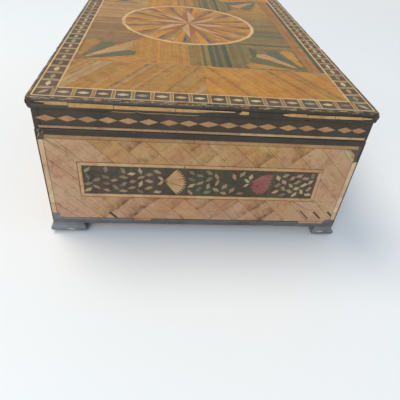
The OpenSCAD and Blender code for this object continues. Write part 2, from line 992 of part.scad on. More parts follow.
module corner_ray(width) {
    inner_split = corner_split * 3;
    linear_extrude(inlay_t)
        polygon([
            corner_in_r * [cos(inner_split), sin(inner_split)],
            corner_r * [cos(corner_split), sin(corner_split)],
            corner_r * corner_peak * [cos(width / 2), sin(width / 2)],
            corner_r * [cos(width - corner_split), sin(width - corner_split)],
            corner_in_r * [cos(width - inner_split), sin(width - inner_split)]
        ]);
}

// Hinge nodes

module left_hinge_body_leaf() {
    color("darkgoldenrod") translate([hinge_x, hinge_y, z_joint]) body_leaf();
}

module left_hinge_lid_leaf() {
    color("goldenrod") translate([hinge_x, hinge_y, z_joint]) lid_leaf();
}

module left_hinge_pin() {
    hinge_pin(hinge_y);
}

module right_hinge_body_leaf() {
    color("darkgoldenrod") translate([hinge_x, -hinge_y, z_joint]) body_leaf();
}

module right_hinge_lid_leaf() {
    color("goldenrod") translate([hinge_x, -hinge_y, z_joint]) lid_leaf();
}

module right_hinge_pin() {
    hinge_pin(-hinge_y);
}

module body_screws() {
    color("gold") at_hinges() body_leaf_screws() screw();
}

module lid_screws() {
    color("gold") at_hinges() lid_leaf_screws() screw();
}

bottom_board();
front_board();
back_board();
left_end_board();
right_end_board();
bottom_nails();
foot_front_left();
foot_front_right();
foot_back_left();
foot_back_right();
rim_bands();
rim_lines();
base_lines();
corner_lines();
corner_stringing();
straw_front();
straw_back();
straw_left();
straw_right();
panel_frames();
panel_grounds();
flowers_front();
flowers_back();
flowers_left();
flowers_right();
wall_lining();
floor_lining();
lid_board();
lid_rail_front();
lid_rail_back();
lid_rail_left();
lid_rail_right();
lid_edge_front();
lid_edge_back();
lid_edge_left();
lid_edge_right();
edge_stringing();
frieze_lozenges();
frieze_lines();
lid_lining();
lid_outer_line();
lid_inner_line();
border_ground();
border_dividers();
border_lozenges();
straw_band_left();
straw_band_right();
picture_ground();
picture_lines();
green_strip();
plain_strip();
picture_inlay();
left_hinge_body_leaf();
left_hinge_lid_leaf();
left_hinge_pin();
right_hinge_body_leaf();
right_hinge_lid_leaf();
right_hinge_pin();
body_screws();
lid_screws();
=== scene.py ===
"""Straw-work keepsake box: its straw, wood, paper and brass, with the camera and light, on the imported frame.

Lengths are in millimetres up to the point where a mesh is made, where MM turns them into metres.
"""

import json
import math
import random

import bmesh
import bpy
from mathutils import Matrix, Vector

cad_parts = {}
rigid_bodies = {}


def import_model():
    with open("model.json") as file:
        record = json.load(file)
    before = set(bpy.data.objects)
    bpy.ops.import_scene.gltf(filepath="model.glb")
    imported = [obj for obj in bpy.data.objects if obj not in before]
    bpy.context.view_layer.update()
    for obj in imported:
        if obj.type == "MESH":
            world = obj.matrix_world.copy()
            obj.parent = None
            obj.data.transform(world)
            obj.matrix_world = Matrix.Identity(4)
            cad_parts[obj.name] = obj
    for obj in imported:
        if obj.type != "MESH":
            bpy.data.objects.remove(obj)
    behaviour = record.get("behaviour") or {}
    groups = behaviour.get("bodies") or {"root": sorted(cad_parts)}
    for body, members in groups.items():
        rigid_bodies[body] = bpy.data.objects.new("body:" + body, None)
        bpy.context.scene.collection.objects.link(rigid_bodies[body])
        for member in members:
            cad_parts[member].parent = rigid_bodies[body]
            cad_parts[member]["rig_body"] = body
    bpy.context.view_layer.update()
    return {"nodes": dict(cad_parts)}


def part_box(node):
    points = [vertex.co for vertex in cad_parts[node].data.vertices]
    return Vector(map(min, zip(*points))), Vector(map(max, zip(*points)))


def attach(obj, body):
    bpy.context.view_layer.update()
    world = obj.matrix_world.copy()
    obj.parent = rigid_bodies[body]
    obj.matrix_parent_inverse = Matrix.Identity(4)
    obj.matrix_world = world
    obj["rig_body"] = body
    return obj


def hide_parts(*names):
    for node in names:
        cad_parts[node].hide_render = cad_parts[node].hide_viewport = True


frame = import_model()
nodes = frame["nodes"]

MM = 0.001


def mm_box(node):
    """The lowest and highest corners of a CAD node, in millimetres."""
    low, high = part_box(node)
    return low / MM, high / MM


# Sizes read from the frame

HALF_X = mm_box("bottom_board")[1].x
HALF_Y = mm_box("bottom_board")[1].y
Z_BOTTOM = mm_box("bottom_board")[0].z
Z_WALL = mm_box("bottom_board")[1].z
Z_BASE = mm_box("straw_right")[0].z
Z_LINE = mm_box("straw_right")[1].z
Z_BAND = mm_box("rim_bands")[0].z
Z_PANEL, Z_PANEL_TOP = mm_box("panel_frames")[0].z, mm_box("panel_frames")[1].z
Z_RAIL, Z_EDGE = mm_box("lid_rail_right")[0].z, mm_box("lid_rail_right")[1].z
Z_TOP = mm_box("lid_outer_line")[1].z
Z_VENEER = mm_box("lid_outer_line")[0].z
Z_STRIPE = mm_box("edge_stringing")[0].z - 0.4
STRIPE_H = mm_box("edge_stringing")[1].z - 0.1 - Z_STRIPE
FIELD_HALF_Y = mm_box("plain_strip")[1].y
FIELD_LEFT = mm_box("picture_ground")[0].x
FIELD_RIGHT = mm_box("picture_ground")[1].x
BAND_OUT = -mm_box("straw_band_right")[0].y
BAND_IN = -mm_box("straw_band_right")[1].y
FRIEZE_LOW, FRIEZE_HIGH = mm_box("frieze_lines")[0].z, mm_box("frieze_lines")[1].z
LOZENGE_LOW, LOZENGE_HIGH = mm_box("frieze_lozenges")[0].z, mm_box("frieze_lozenges")[1].z
OVERHANG = mm_box("lid_edge_front")[1].y - HALF_Y
TOP_IN = HALF_X - mm_box("lid_outer_line")[1].x
LEDGE = OVERHANG + TOP_IN
FOOT_PROUD = mm_box("foot_back_right")[1].x - HALF_X
FRONT_FOOT_PROUD = -mm_box("foot_front_right")[0].x - HALF_X

# Sizes of the straw work that the frame's boxes don't give

VENEER_T = 0.5
INLAY_T = 0.2
CORNER_DARK_W = 0.55
CORNER_LIGHT_W = 3.3
PANEL_MARGIN = 21.0
FRAME_W = 2.75
OUTER_LINE_W = 1.2
BORDER_W = 10.1
BORDER_PITCH = 11.0
INNER_LINE_W = 1.5
DIVIDER_W = 2.4
FLOWER_PITCH = 56.5
FLOWER_FIRST = -25.0
CREAM_L = 13.2
ROSE_L = 15.4
FLOWER_L = max(CREAM_L, ROSE_L)
LEAF_L = 5.2
LEAF_W = 2.45

RIGHT, FRONT, LEFT, BACK = range(4)
SIDE_NAMES = ("right", "front", "left", "back")


def srgb(r, g, b):
    """A colour as seen on a screen, 0 to 255, in the linear values that shaders take."""
    return tuple(((c / 255 + 0.055) / 1.055) ** 2.4 if c > 10 else c / 255 / 12.92 for c in (r, g, b))


LINE_STRAW = srgb(176, 145, 108)
PALE_STRAW = srgb(206, 180, 132)
STRIPE_STRAW = srgb(182, 153, 104)
CORNER_STRAW = srgb(196, 174, 148)
FRAME_STRAW = srgb(184, 156, 119)
WALL_PINK = srgb(178, 146, 126)
WALL_GOLD = srgb(173, 142, 97)
MARGIN_TAN = srgb(183, 157, 133)
GEM_STRAW = srgb(159, 129, 94)
FRIEZE_STRAW = srgb(161, 135, 106)
OCHRE = srgb(164, 125, 61)
ORANGE = srgb(182, 133, 56)
RUST = srgb(150, 96, 56)
CREAM = srgb(183, 156, 116)
FOOT_GEM = srgb(160, 172, 180)
LEAF_CREAM = srgb(166, 155, 126)
LEAF_OLIVE = srgb(142, 132, 106)
LEAF_SAGE = srgb(126, 121, 104)
LEAF_GREY = srgb(112, 108, 97)
LEAF_TEAL = srgb(62, 72, 72)
LEAF_TAN = srgb(150, 129, 108)
LEAF_PINK = srgb(150, 131, 119)
ROSE = srgb(134, 89, 89)
BUD_PINK = srgb(156, 108, 98)
BASE_STRAW = srgb(172, 148, 120)
PANEL_PLUM = srgb(81, 72, 65)
PANEL_GREEN = srgb(72, 72, 59)
DARK = srgb(86, 77, 67)
DARK_GREEN = srgb(80, 79, 64)
DARK_BLUE = srgb(78, 78, 71)
DARK_PLUM = srgb(94, 80, 75)
DEEP_GREEN = srgb(62, 78, 62)
SEA_GREEN = srgb(96, 98, 64)
SEA_BLUE = srgb(84, 94, 76)
OLIVE = srgb(136, 114, 62)
BAR_OLIVE = srgb(146, 121, 82)
GREY_BROWN = srgb(138, 105, 66)
GREY_GREEN = srgb(124, 109, 74)
GEM_CREAM = srgb(192, 180, 142)
PLAIN_BROWN = srgb(150, 108, 58)
RIM_STRAW = srgb(160, 131, 96)
SCRAP_STRAW = srgb(176, 162, 126)
# A pale line straw: worn scratches at the corner, and a painted highlight on the right part of each frieze line.
WEAR_AND_HIGHLIGHT_LINE = srgb(180, 160, 128)
# Greys for the bare foot of the right end: a lit one and a shaded one, painted light and shade, both with a painted
# bluish sheen.
LIT_SHEEN_GREY = srgb(119, 125, 131)
SHADED_GREY = srgb(99, 103, 110)


def noise(a, b):
    """A number from 0 to 1 that is always the same for the same two whole numbers, as in the CAD source."""
    n = math.sin(math.radians(a * 127.1 + b * 311.7)) * 437.585
    return n - math.floor(n)


# Materials


class Shader:
    """A material whose node tree is built one call at a time."""

    def __init__(self, name):
        self.material = bpy.data.materials.new(name)
        self.material.use_nodes = True
        self.tree = self.material.node_tree
        self.bsdf = self.tree.nodes["Principled BSDF"]

    def node(self, kind, **settings):
        made = self.tree.nodes.new(kind)
        for key, value in settings.items():
            setattr(made, key, value)
        return made

    def feed(self, socket, value):
        if isinstance(value, bpy.types.NodeSocket):
            self.tree.links.new(value, socket)
        elif isinstance(value, tuple) and len(value) == 3 and socket.type == "RGBA":
            socket.default_value = (*value, 1)
        else:
            socket.default_value = value

    def math(self, operation, *values, clamp=False):
        made = self.node("ShaderNodeMath", operation=operation, use_clamp=clamp)
        for i, value in enumerate(values):
            self.feed(made.inputs[i], value)
        return made.outputs[0]

    def mix(self, factor, a, b, blend="MIX"):
        made = self.node("ShaderNodeMix", data_type="RGBA", blend_type=blend)
        self.feed(made.inputs[0], factor)
        self.feed(made.inputs[6], a)
        self.feed(made.inputs[7], b)
        return made.outputs[2]

    def scale(self, vector, by):
        made = self.node("ShaderNodeVectorMath", operation="MULTIPLY")
        self.feed(made.inputs[0], vector)
        self.feed(made.inputs[1], by)
        return made.outputs[0]

    def noise(self, vector, scale=1.0, detail=3.0, roughness=0.55, distortion=0.0):
        made = self.node("ShaderNodeTexNoise")
        self.feed(made.inputs["Vector"], vector)
        for name, value in (("Scale", scale), ("Detail", detail), ("Roughness", roughness), ("Distortion", distortion)):
            made.inputs[name].default_value = value
        return made.outputs[0]

    def spread(self, value, low, high, to_low=0.0, to_high=1.0):
        """value from low to high, spread to to_low to to_high and clamped there."""
        made = self.node("ShaderNodeMapRange")
        for i, given in enumerate((value, low, high, to_low, to_high)):
            self.feed(made.inputs[i], given)
        return made.outputs[0]

    def attribute(self, name, output):
        return self.node("ShaderNodeAttribute", attribute_name=name).outputs[output]

    def place(self):
        """Places on the object in millimetres."""
        return self.scale(self.node("ShaderNodeTexCoord").outputs["Object"], (1 / MM, 1 / MM, 1 / MM))

    def bump(self, height, depth_mm, strength=1.0):
        made = self.node("ShaderNodeBump")
        made.inputs["Strength"].default_value = strength
        made.inputs["Distance"].default_value = depth_mm * MM
        self.feed(made.inputs["Height"], height)
        self.feed(self.bsdf.inputs["Normal"], made.outputs[0])

    def finish(self, colour, roughness, **constants):
        self.feed(self.bsdf.inputs["Base Color"], colour)
        self.feed(self.bsdf.inputs["Roughness"], roughness)
        for name, value in constants.items():
            self.bsdf.inputs[name.replace("_", " ")].default_value = value
        return self.material

    def fade_to(self, colour, factor):
        """Blends the finished surface into a plain colour that no lamp changes."""
        plain = self.node("ShaderNodeEmission")
        self.feed(plain.inputs["Color"], colour)
        blend = self.node("ShaderNodeMixShader")
        self.feed(blend.inputs[0], factor)
        self.feed(blend.inputs[1], self.bsdf.outputs[0])
        self.feed(blend.inputs[2], plain.outputs[0])
        self.feed(self.tree.nodes["Material Output"].inputs["Surface"], blend.outputs[0])


def straw_material(name, gloss=0.5, streak=0.13, soil=0.5):
    """Split straw: the tint of each piece, streaked along its own grain, mottled, and soiled at its edges."""
    s = Shader(name)
    tint = s.attribute("tint", "Color")
    grain = s.attribute("grain", "Vector")
    rim = s.attribute("rim", "Fac")
    shade = s.attribute("shade", "Fac")
    fibres = s.noise(s.scale(grain, (0.05, 3.4, 1.0)), detail=4, roughness=0.6)
    hairs = s.noise(s.scale(grain, (0.16, 9.0, 1.0)), detail=2, roughness=0.5)
    mottle = s.noise(s.place(), scale=0.09, detail=4, roughness=0.6, distortion=0.4)
    smudge = s.noise(s.place(), scale=0.23, detail=4, roughness=0.62, distortion=0.8)
    specks = s.noise(s.place(), scale=0.9, detail=3, roughness=0.65)
    streaks = s.spread(fibres, 0.3, 0.7, 1 - streak, 1 + streak)
    fine = s.spread(hairs, 0.3, 0.7, 1 - streak * 0.5, 1 + streak * 0.5)
    colour = s.mix(1.0, tint, s.math("MULTIPLY", streaks, fine), "MULTIPLY")
    rosy = s.mix(1.0, colour, srgb(244, 226, 226), "MULTIPLY")
    colour = s.mix(s.spread(mottle, 0.35, 0.65), colour, rosy)
    brown = s.mix(1.0, colour, srgb(186, 150, 116), "MULTIPLY")
    colour = s.mix(s.spread(smudge, 0.5, 0.72, 0.0, soil), colour, brown)
    spotted = s.math("MULTIPLY", s.spread(specks, 0.58, 0.74, 0.0, 0.4), soil)
    colour = s.mix(spotted, colour, s.mix(1.0, colour, srgb(150, 118, 92), "MULTIPLY"))
    scorch = s.math("MULTIPLY", s.math("POWER", shade, 2.2), s.spread(smudge, 0.35, 0.6, 0.35, 1.0), clamp=True)
    colour = s.mix(scorch, colour, s.mix(1.0, colour, srgb(112, 74, 46), "MULTIPLY"))
    dirt = s.math("MULTIPLY", s.math("POWER", rim, 1.6), s.spread(mottle, 0.3, 0.7, 0.3, 0.9), clamp=True)
    colour = s.mix(dirt, colour, srgb(70, 50, 36))
    s.bump(s.math("ADD", fibres, s.math("MULTIPLY", specks, 0.5)), 0.06, 0.6)
    rough = s.spread(fibres, 0.3, 0.7, gloss - 0.06, gloss + 0.1)
    return s.finish(colour, rough, Specular_IOR_Level=0.24)


def stained_material(name, colour, worn, gloss):
    """Dark stained and varnished wood with rubbed places, dents and dull patches."""
    s = Shader(name)
    place = s.place()
    patches = s.noise(place, scale=0.06, detail=5, roughness=0.6)
    pores = s.noise(s.scale(place, (0.5, 0.5, 3.0)), scale=1.0, detail=4, roughness=0.6)
    dents = s.noise(place, scale=0.35, detail=4, roughness=0.62, distortion=0.6)
    rubbed = s.math("MULTIPLY", s.spread(dents, 0.62, 0.74), s.spread(patches, 0.48, 0.62), clamp=True)
    shade = s.mix(s.spread(patches, 0.3, 0.7), colour, s.mix(1.0, colour, srgb(170, 162, 160), "MULTIPLY"))
    shade = s.mix(s.spread(pores, 0.35, 0.65, 0.0, 0.35), shade, s.mix(0.5, shade, srgb(84, 66, 50)))
    shade = s.mix(s.math("MULTIPLY", rubbed, 0.5), shade, worn)
    scratches = s.noise(s.scale(place, (0.2, 0.2, 2.0)), scale=1.0, detail=5, roughness=0.72, distortion=0.3)
    arris = s.attribute("worn", "Fac")
    rubbed_off = s.spread(s.math("ADD", scratches, s.math("MULTIPLY", arris, 0.16)), 0.63, 0.71)
    bare = s.math("MULTIPLY", rubbed_off, arris, clamp=True)
    shade = s.mix(bare, shade, worn)
    s.bump(s.math("ADD", s.math("MULTIPLY", dents, 1.0), s.math("MULTIPLY", pores, 0.25)), 0.35, 0.5)
    rough = s.spread(dents, 0.3, 0.7, gloss - 0.08, gloss + 0.16)
    return s.finish(shade, rough, Specular_IOR_Level=0.35, Coat_Weight=0.1, Coat_Roughness=0.3)


def pine_material(name, stretch):
    """Plain softwood, low in stretch along its grain, with dark glue on the faces that the straw is laid on."""
    s = Shader(name)
    place = s.place()
    rings = s.noise(s.scale(place, stretch), scale=1.0, detail=3, roughness=0.5, distortion=0.8)
    hairs = s.noise(s.scale(place, tuple(3 * k for k in stretch)), scale=1.0, detail=4, roughness=0.6)
    dirt = s.noise(place, scale=0.05, detail=4, roughness=0.6)
    colour = s.mix(s.spread(rings, 0.35, 0.65), srgb(188, 150, 104), srgb(150, 108, 68))
    colour = s.mix(s.spread(hairs, 0.4, 0.7, 0.0, 0.3), colour, srgb(112, 78, 50))
    colour = s.mix(s.spread(dirt, 0.4, 0.7, 0.0, 0.55), colour, srgb(104, 78, 56))
    sides = s.node("ShaderNodeSeparateXYZ")
    s.feed(sides.inputs[0], place)
    across = s.math("SUBTRACT", s.math("ABSOLUTE", sides.outputs[0]), HALF_X - VENEER_T)
    along = s.math("SUBTRACT", s.math("ABSOLUTE", sides.outputs[1]), HALF_Y - VENEER_T)
    up = s.math("SUBTRACT", sides.outputs[2], Z_VENEER)
    outer = s.math("MAXIMUM", s.math("MAXIMUM", across, along), up)
    glue = s.mix(s.spread(hairs, 0.3, 0.7), srgb(58, 50, 44), srgb(88, 78, 68))
    colour = s.mix(s.spread(outer, -0.4, -0.3), colour, glue)
    s.bump(hairs, 0.1, 0.5)
    return s.finish(colour, s.spread(hairs, 0.3, 0.7, 0.55, 0.75))


def paper_material(name, sheet, faded):
    """Old lining paper: faded and foxed, with fibres and soft cockles."""
    s = Shader(name)
    place = s.place()
    cloud = s.noise(place, scale=0.03, detail=4, roughness=0.6)
    fibres = s.noise(s.scale(place, (1.2, 1.2, 1.2)), scale=1.0, detail=5, roughness=0.7)
    foxing = s.noise(place, scale=0.14, detail=3, roughness=0.6)
    colour = s.mix(s.spread(cloud, 0.36, 0.64), sheet, faded)
    colour = s.mix(s.spread(fibres, 0.4, 0.7, 0.0, 0.25), colour, srgb(226, 220, 200))
    colour = s.mix(s.spread(foxing, 0.64, 0.74, 0.0, 0.5), colour, srgb(150, 112, 72))
    s.bump(s.math("ADD", fibres, s.math("MULTIPLY", cloud, 2.0)), 0.2, 0.4)
    return s.finish(colour, s.spread(fibres, 0.3, 0.7, 0.78, 0.92), Specular_IOR_Level=0.25)


def metal_material(name, bright, dull, gloss):
    """Old metal: dull in patches and brighter where it is rubbed."""
    s = Shader(name)
    place = s.place()
    patches = s.noise(place, scale=0.5, detail=4, roughness=0.65)
    marks = s.noise(s.scale(place, (0.6, 6.0, 0.6)), scale=1.0, detail=3, roughness=0.6)
    colour = s.mix(s.spread(patches, 0.38, 0.64), bright, dull)
    s.bump(s.math("ADD", patches, s.math("MULTIPLY", marks, 0.3)), 0.05, 0.5)
    return s.finish(colour, s.spread(patches, 0.3, 0.7, gloss, gloss + 0.25), Metallic=1.0)


STRAW = straw_material("split_straw")
DARK_STRAW = straw_material("dyed_straw", gloss=0.55, streak=0.22, soil=0.6)
LINE = straw_material("straw_line", gloss=0.48, streak=0.1, soil=0.5)
STAINED = stained_material("stained_wood", srgb(52, 44, 36), srgb(150, 125, 88), 0.45)
PAINTED = stained_material("stained_rail", srgb(62, 50, 38), srgb(98, 80, 60), 0.46)
# The bottom board and the feet are lighter bluish greys than the stained wood elsewhere: a painted bluish sheen
# reflected from the pale table.
BASE_SHEEN_WOOD = stained_material("base_painted_sheen", srgb(97, 100, 105), srgb(138, 136, 132), 0.42)
FOOT_SHEEN_WOOD = stained_material("foot_painted_sheen", srgb(121, 125, 129), srgb(172, 172, 170), 0.42)
PINE_ALONG = pine_material("pine_along", (0.9, 0.03, 0.9))
PINE_ACROSS = pine_material("pine_across", (0.03, 0.9, 0.9))
PAPER = paper_material("lining_paper", srgb(140, 147, 138), srgb(150, 153, 140))
BRASS = metal_material("old_brass", srgb(186, 150, 88), srgb(104, 80, 46), 0.3)
IRON = metal_material("old_iron", srgb(88, 82, 78), srgb(48, 38, 32), 0.5)


# Straw pieces


def area(points):
    return 0.5 * sum(a.x * b.y - b.x * a.y for a, b in zip(points, points[1:] + points[:1]))


def clip(points, normal, limit):
    """The part of a convex outline where its points along normal stay under limit."""
    kept = []
    for a, b in zip(points, points[1:] + points[:1]):
        da, db = a.dot(normal) - limit, b.dot(normal) - limit
        if da <= 0:
            kept.append(a)
        if da * db < 0:
            kept.append(a.lerp(b, da / (da - db)))
    return [p for i, p in enumerate(kept) if (p - kept[i - 1]).length > 0.01]


def clip_box(points, left, right, low, high):
    for normal, limit in (((1, 0), right), ((-1, 0), -left), ((0, 1), high), ((0, -1), -low)):
        if len(points) < 3:
            return []
        points = clip(points, Vector(normal), limit)
    return points if len(points) > 2 else []


def less(points, hole):
    """A convex outline less a convex hole, as convex outlines."""
    left = []
    rest = points
    for a, b in zip(hole, hole[1:] + hole[:1]):
        outward = Vector((b.y - a.y, a.x - b.x)).normalized()
        limit = a.dot(outward)
        outer = clip(rest, -outward, -limit)
        if len(outer) > 2 and area(outer) > 0.02:
            left.append(outer)
        rest = clip(rest, outward, limit)
        if len(rest) < 3:
            return left
    return left


def less_all(points, holes):
    outlines = [points]
    for hole in holes:
        outlines = [part for outline in outlines for part in less(outline, hole)]
    return outlines


def inset(points, by):
    """A convex outline drawn in by a width, or shrunk to its middle where it is narrower than that."""
    drawn = []
    for i, b in enumerate(points):
        before = (b - points[i - 1]).normalized()
        after = (points[(i + 1) % len(points)] - b).normalized()
        n0, n1 = Vector((-before.y, before.x)), Vector((-after.y, after.x))
        drawn.append(b + (n0 + n1) * (by / max(0.35, 1 + n0.dot(n1))))
    whole = area(points)
    if area(drawn) > 0.3 * whole and all((d - p).length <= 4 * by for d, p in zip(drawn, points)):
        return drawn
    middle = sum(points, Vector((0, 0))) / len(points)
    return [p.lerp(middle, 0.35) for p in points]


def vary(colour, rng, by):
    """A colour a little lighter or darker, and a little warmer or cooler."""
    level = 1 + rng.uniform(-by, by)
    warm = 1 + rng.uniform(-by, by) * 0.35
    return (colour[0] * level * warm, colour[1] * level, colour[2] * level / warm)


def blend_colours(a, b, t):
    return tuple(x + (y - x) * t for x, y in zip(a, b))


class Face:
    """A flat side: u to the right as seen from outside, v up, h out of it, all in millimetres."""

    def __init__(self, origin, u, v):
        self.origin, self.u, self.v = Vector(origin), Vector(u), Vector(v)
        self.out = self.u.cross(self.v)

    def at(self, u, v, h):
        return (self.origin + self.u * u + self.v * v + self.out * h) * MM


def side_half(side):
    return HALF_Y if side % 2 == 0 else HALF_X


def side_width(side):
    return 2 * (HALF_X if side % 2 == 0 else HALF_Y)


UP = (0, 0, 1)
WALLS = (
    Face((0, -HALF_Y, 0), (1, 0, 0), UP),
    Face((-HALF_X, 0, 0), (0, -1, 0), UP),
    Face((0, HALF_Y, 0), (-1, 0, 0), UP),
    Face((HALF_X, 0, 0), (0, 1, 0), UP),
)
TOP = Face((0, 0, Z_TOP), (1, 0, 0), (0, 1, 0))


def polar(r, a):
    return Vector((r * math.cos(math.radians(a)), r * math.sin(math.radians(a))))


def faded(point, fade):
    """How scorched a point is, for a fade as StrawWork.piece takes it."""
    if fade is None:
        return 0.0
    direction, start, full, strength = fade
    t = (point.dot(polar(1, direction)) - start) / (full - start)
    return strength * max(0.0, min(1.0, t))


class StrawWork:
    """Thin flat pieces laid on one or more faces and joined into one mesh, each with its own tint and grain."""

    BEVEL = 0.07
    SOILED = 0.4
    WARMTH = (0.99, 0.93, 0.8)

    def __init__(self, name, seed):
        self.name = name
        self.rng = random.Random(seed)
        self.points, self.faces = [], []
        self.tints, self.grains, self.rims, self.shades = [], [], [], []

    def piece(self, face, outline, tint, angle=0.0, top=0.0, depth=VENEER_T, gap=0.03, soil=0.8, fade=None):
        """Lays one convex piece whose grain runs at angle degrees.

        gap is how far it stays inside its outline, soil how dark its edges are. fade is (direction in degrees, place
        where the scorching starts, place where it is full, strength).
        """
        outline = [Vector(p) for p in outline]
        if area(outline) < 0:
            outline.reverse()
        if len(outline) < 3 or area(outline) < 0.12:
            return
        outline = inset(outline, gap)
        along = polar(1, angle)
        across = Vector((-along.y, along.x))
        seed = self.rng.uniform(0, 60)
        rings = (
            (outline, -depth, soil),
            (outline, -self.BEVEL, soil),
            (inset(outline, self.BEVEL), 0.0, soil * 0.8),
            (inset(outline, self.SOILED), 0.0, 0.0),
        )
        first = len(self.points)
        count = len(outline)
        for ring, height, rim in rings:
            for p in ring:
                self.points.append(face.at(p.x, p.y, top + height))
                self.tints.append((*(c * warm for c, warm in zip(tint, self.WARMTH)), 1.0))
                self.grains.append((p.dot(along) + 40 * seed, p.dot(across) + 7 * seed, seed))
                self.rims.append(rim)
                self.shades.append(faded(p, fade))
        for ring in range(len(rings) - 1):
            a = first + ring * count
            for i in range(count):
                j = (i + 1) % count
                self.faces.append((a + i, a + j, a + count + j, a + count + i))
        self.faces.append(tuple(first + i for i in reversed(range(count))))
        last = first + (len(rings) - 1) * count
        self.faces.append(tuple(range(last, last + count)))

    def build(self, body, material, slot, *replaced):
        mesh = bpy.data.meshes.new(self.name)
        mesh.from_pydata(self.points, [], self.faces)
        for name, kind, key, values in (
            ("tint", "FLOAT_COLOR", "color", self.tints),
            ("grain", "FLOAT_VECTOR", "vector", self.grains),
            ("rim", "FLOAT", "value", self.rims),
            ("shade", "FLOAT", "value", self.shades),
        ):
            flat = [x for v in values for x in v] if isinstance(values[0], tuple) else values
            mesh.attributes.new(name, kind, "POINT").data.foreach_set(key, flat)
        mesh.materials.append(material)
        piece = bpy.data.objects.new(self.name, mesh)
        bpy.context.scene.collection.objects.link(piece)
        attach(piece, body)
        if replaced:
            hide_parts(*replaced)
        return piece


def rectangle(left, right, low, high):
    return [Vector((left, low)), Vector((right, low)), Vector((right, high)), Vector((left, high))]


def lozenge(length, width, at, angle=0.0, swell=0.0, skew=0.0):
    """A lozenge outline, with its sides bowed out by swell and its blunt corners slid apart by skew."""
    turn = Matrix.Rotation(math.radians(angle), 2)
    corners = [(-length / 2, 0), (skew, -width / 2), (length / 2, 0), (-skew, width / 2)]
    outline = []
    for i, corner in enumerate(corners):
        here, there = Vector(corner), Vector(corners[(i + 1) % 4])
        outline.append(here)
        if swell:
            outline.append((here + there) / 2 * (1 + swell))
    return [turn @ p + Vector(at) for p in outline]


def turned(points, angle):
    turn = Matrix.Rotation(math.radians(angle), 2)
    return [turn @ Vector(p) for p in points]


def long_strip(
    work, face, run, across, tint, top=0.0, depth=VENEER_T, mitre=(0, 0), angle=0.0, lost=(), at=(0, 0), lengths=(38, 95)
):
    """A straight strip made of several lengths of straw, butted end to end.

    run is its two ends and across its two edges, before it is turned by angle and moved to at. mitre is how far each end
    slants from the first edge to the second. lost lists stretches that have come away.
    """
    rng = work.rng
    cuts = [run[0]]
    while cuts[-1] < run[1]:
        cuts.append(min(run[1], cuts[-1] + rng.uniform(*lengths)))
    if len(cuts) > 2 and cuts[-1] - cuts[-2] < 0.4 * lengths[0]:
        cuts.pop(-2)
    for start, end in zip(cuts, cuts[1:]):
        spans = [(start, end)]
        for a, b in lost:
            spans = [s for lo, hi in spans for s in ((lo, min(hi, a)), (max(lo, b), hi)) if s[1] - s[0] > 0.4]
        own = vary(tint, rng, 0.12)
        for lo, hi in spans:
            m0 = mitre[0] if lo == run[0] else rng.uniform(-0.3, 0.3)
            m1 = mitre[1] if hi == run[1] else rng.uniform(-0.3, 0.3)
            outline = [(lo, across[0]), (hi, across[0]), (hi - m1, across[1]), (lo + m0, across[1])]
            moved = [p + Vector(at) for p in turned(outline, angle)]
            work.piece(face, moved, own, angle, top, depth)


def mitred_strips(work, face, width, height, strip, tints, at=(0, 0), top=0.0, depth=VENEER_T):
    """Four strips mitred round a rectangle, with the tints of the lower, right, upper and left one."""
    for turn, tint in enumerate(tints):
        half_run = (width if turn % 2 == 0 else height) / 2
        edge = -(height if turn % 2 == 0 else width) / 2
        long_strip(
            work, face, (-half_run, half_run), (edge, edge + strip), tint, top, depth, (strip, strip), 90 * turn, (), at
        )


# Straw on the walls

BAND_PITCH = 12.9
BAND_GAP = 0.06
SQUARE_PITCH = 12.6
BAND_WAY = -45
MARGIN_IN = 24.0
FIELD_IN = CORNER_DARK_W + CORNER_LIGHT_W

# What is lost from the right end: straw at its upper corner, slivers along its foot and stretches of its lines
LOST_CORNER = ((91.5, 75.5), (101.0, 66.5), (101.0, 75.5))
SCRAP_SPLINT = ((87.4, 75.0), (89.6, 71.6), (95.2, 65.4), (97.0, 67.4), (90.6, 75.0))
SLIVERS = (
    ((71.8, 22.8), (79.0, 15.4), (79.5, 16.1), (72.4, 23.4)),
    ((81.4, 22.0), (88.0, 15.6), (88.7, 16.6), (82.4, 23.0)),
    ((91.6, 22.4), (96.2, 17.8), (97.0, 18.8), (92.6, 23.4)),
    ((-62.3, 18.0), (-57.6, 13.4), (-55.6, 13.4), (-60.4, 19.0)),
)
RIM_LINE_RUN = (-95.4, 96.6)
CORNER_SCRATCHES = (
    ((-99.0, 79.6), (-98.6, 79.4), (-97.0, 81.0), (-97.4, 81.2)),
    ((-98.2, 76.6), (-97.8, 76.5), (-97.5, 79.3), (-97.9, 79.4)),
    ((-99.3, 75.2), (-98.9, 75.1), (-98.5, 77.5), (-98.8, 77.6)),
    ((-96.6, 78.2), (-96.2, 78.0), (-95.2, 79.6), (-95.5, 79.8)),
)
CORNER_LOST = ((0.0, 15.2), (65.8, 77.0))
CORNER_BLOCK = ((0.0, 17.0), (74.2, 77.0))
BASE_LOST = ((-100.0, -45.2), (-33.2, 73.0), (93.2, 100.0))
# Bare patches along the foot of the right end where straw has come away: lighter at the left end as painted light,
# darker further right as painted shade.
GREY_PATCHES = (
    (((-99.4, 11.5), (-94.6, 11.5), (-94.7, 16.1), (-95.6, 17.6), (-97.4, 17.2), (-99.4, 17.8)), LIT_SHEEN_GREY),
    (((-94.4, 11.5), (-45.2, 11.5), (-46.0, 12.9), (-72.0, 12.9), (-94.5, 13.4)), LIT_SHEEN_GREY),
    (((-33.2, 11.5), (72.8, 11.5), (73.0, 12.6), (20.0, 12.9), (-33.0, 12.9)), SHADED_GREY),
    (((91.4, 11.5), (99.4, 11.5), (99.4, 15.2), (96.2, 15.7), (92.8, 15.0), (91.0, 13.2)), SHADED_GREY),
)


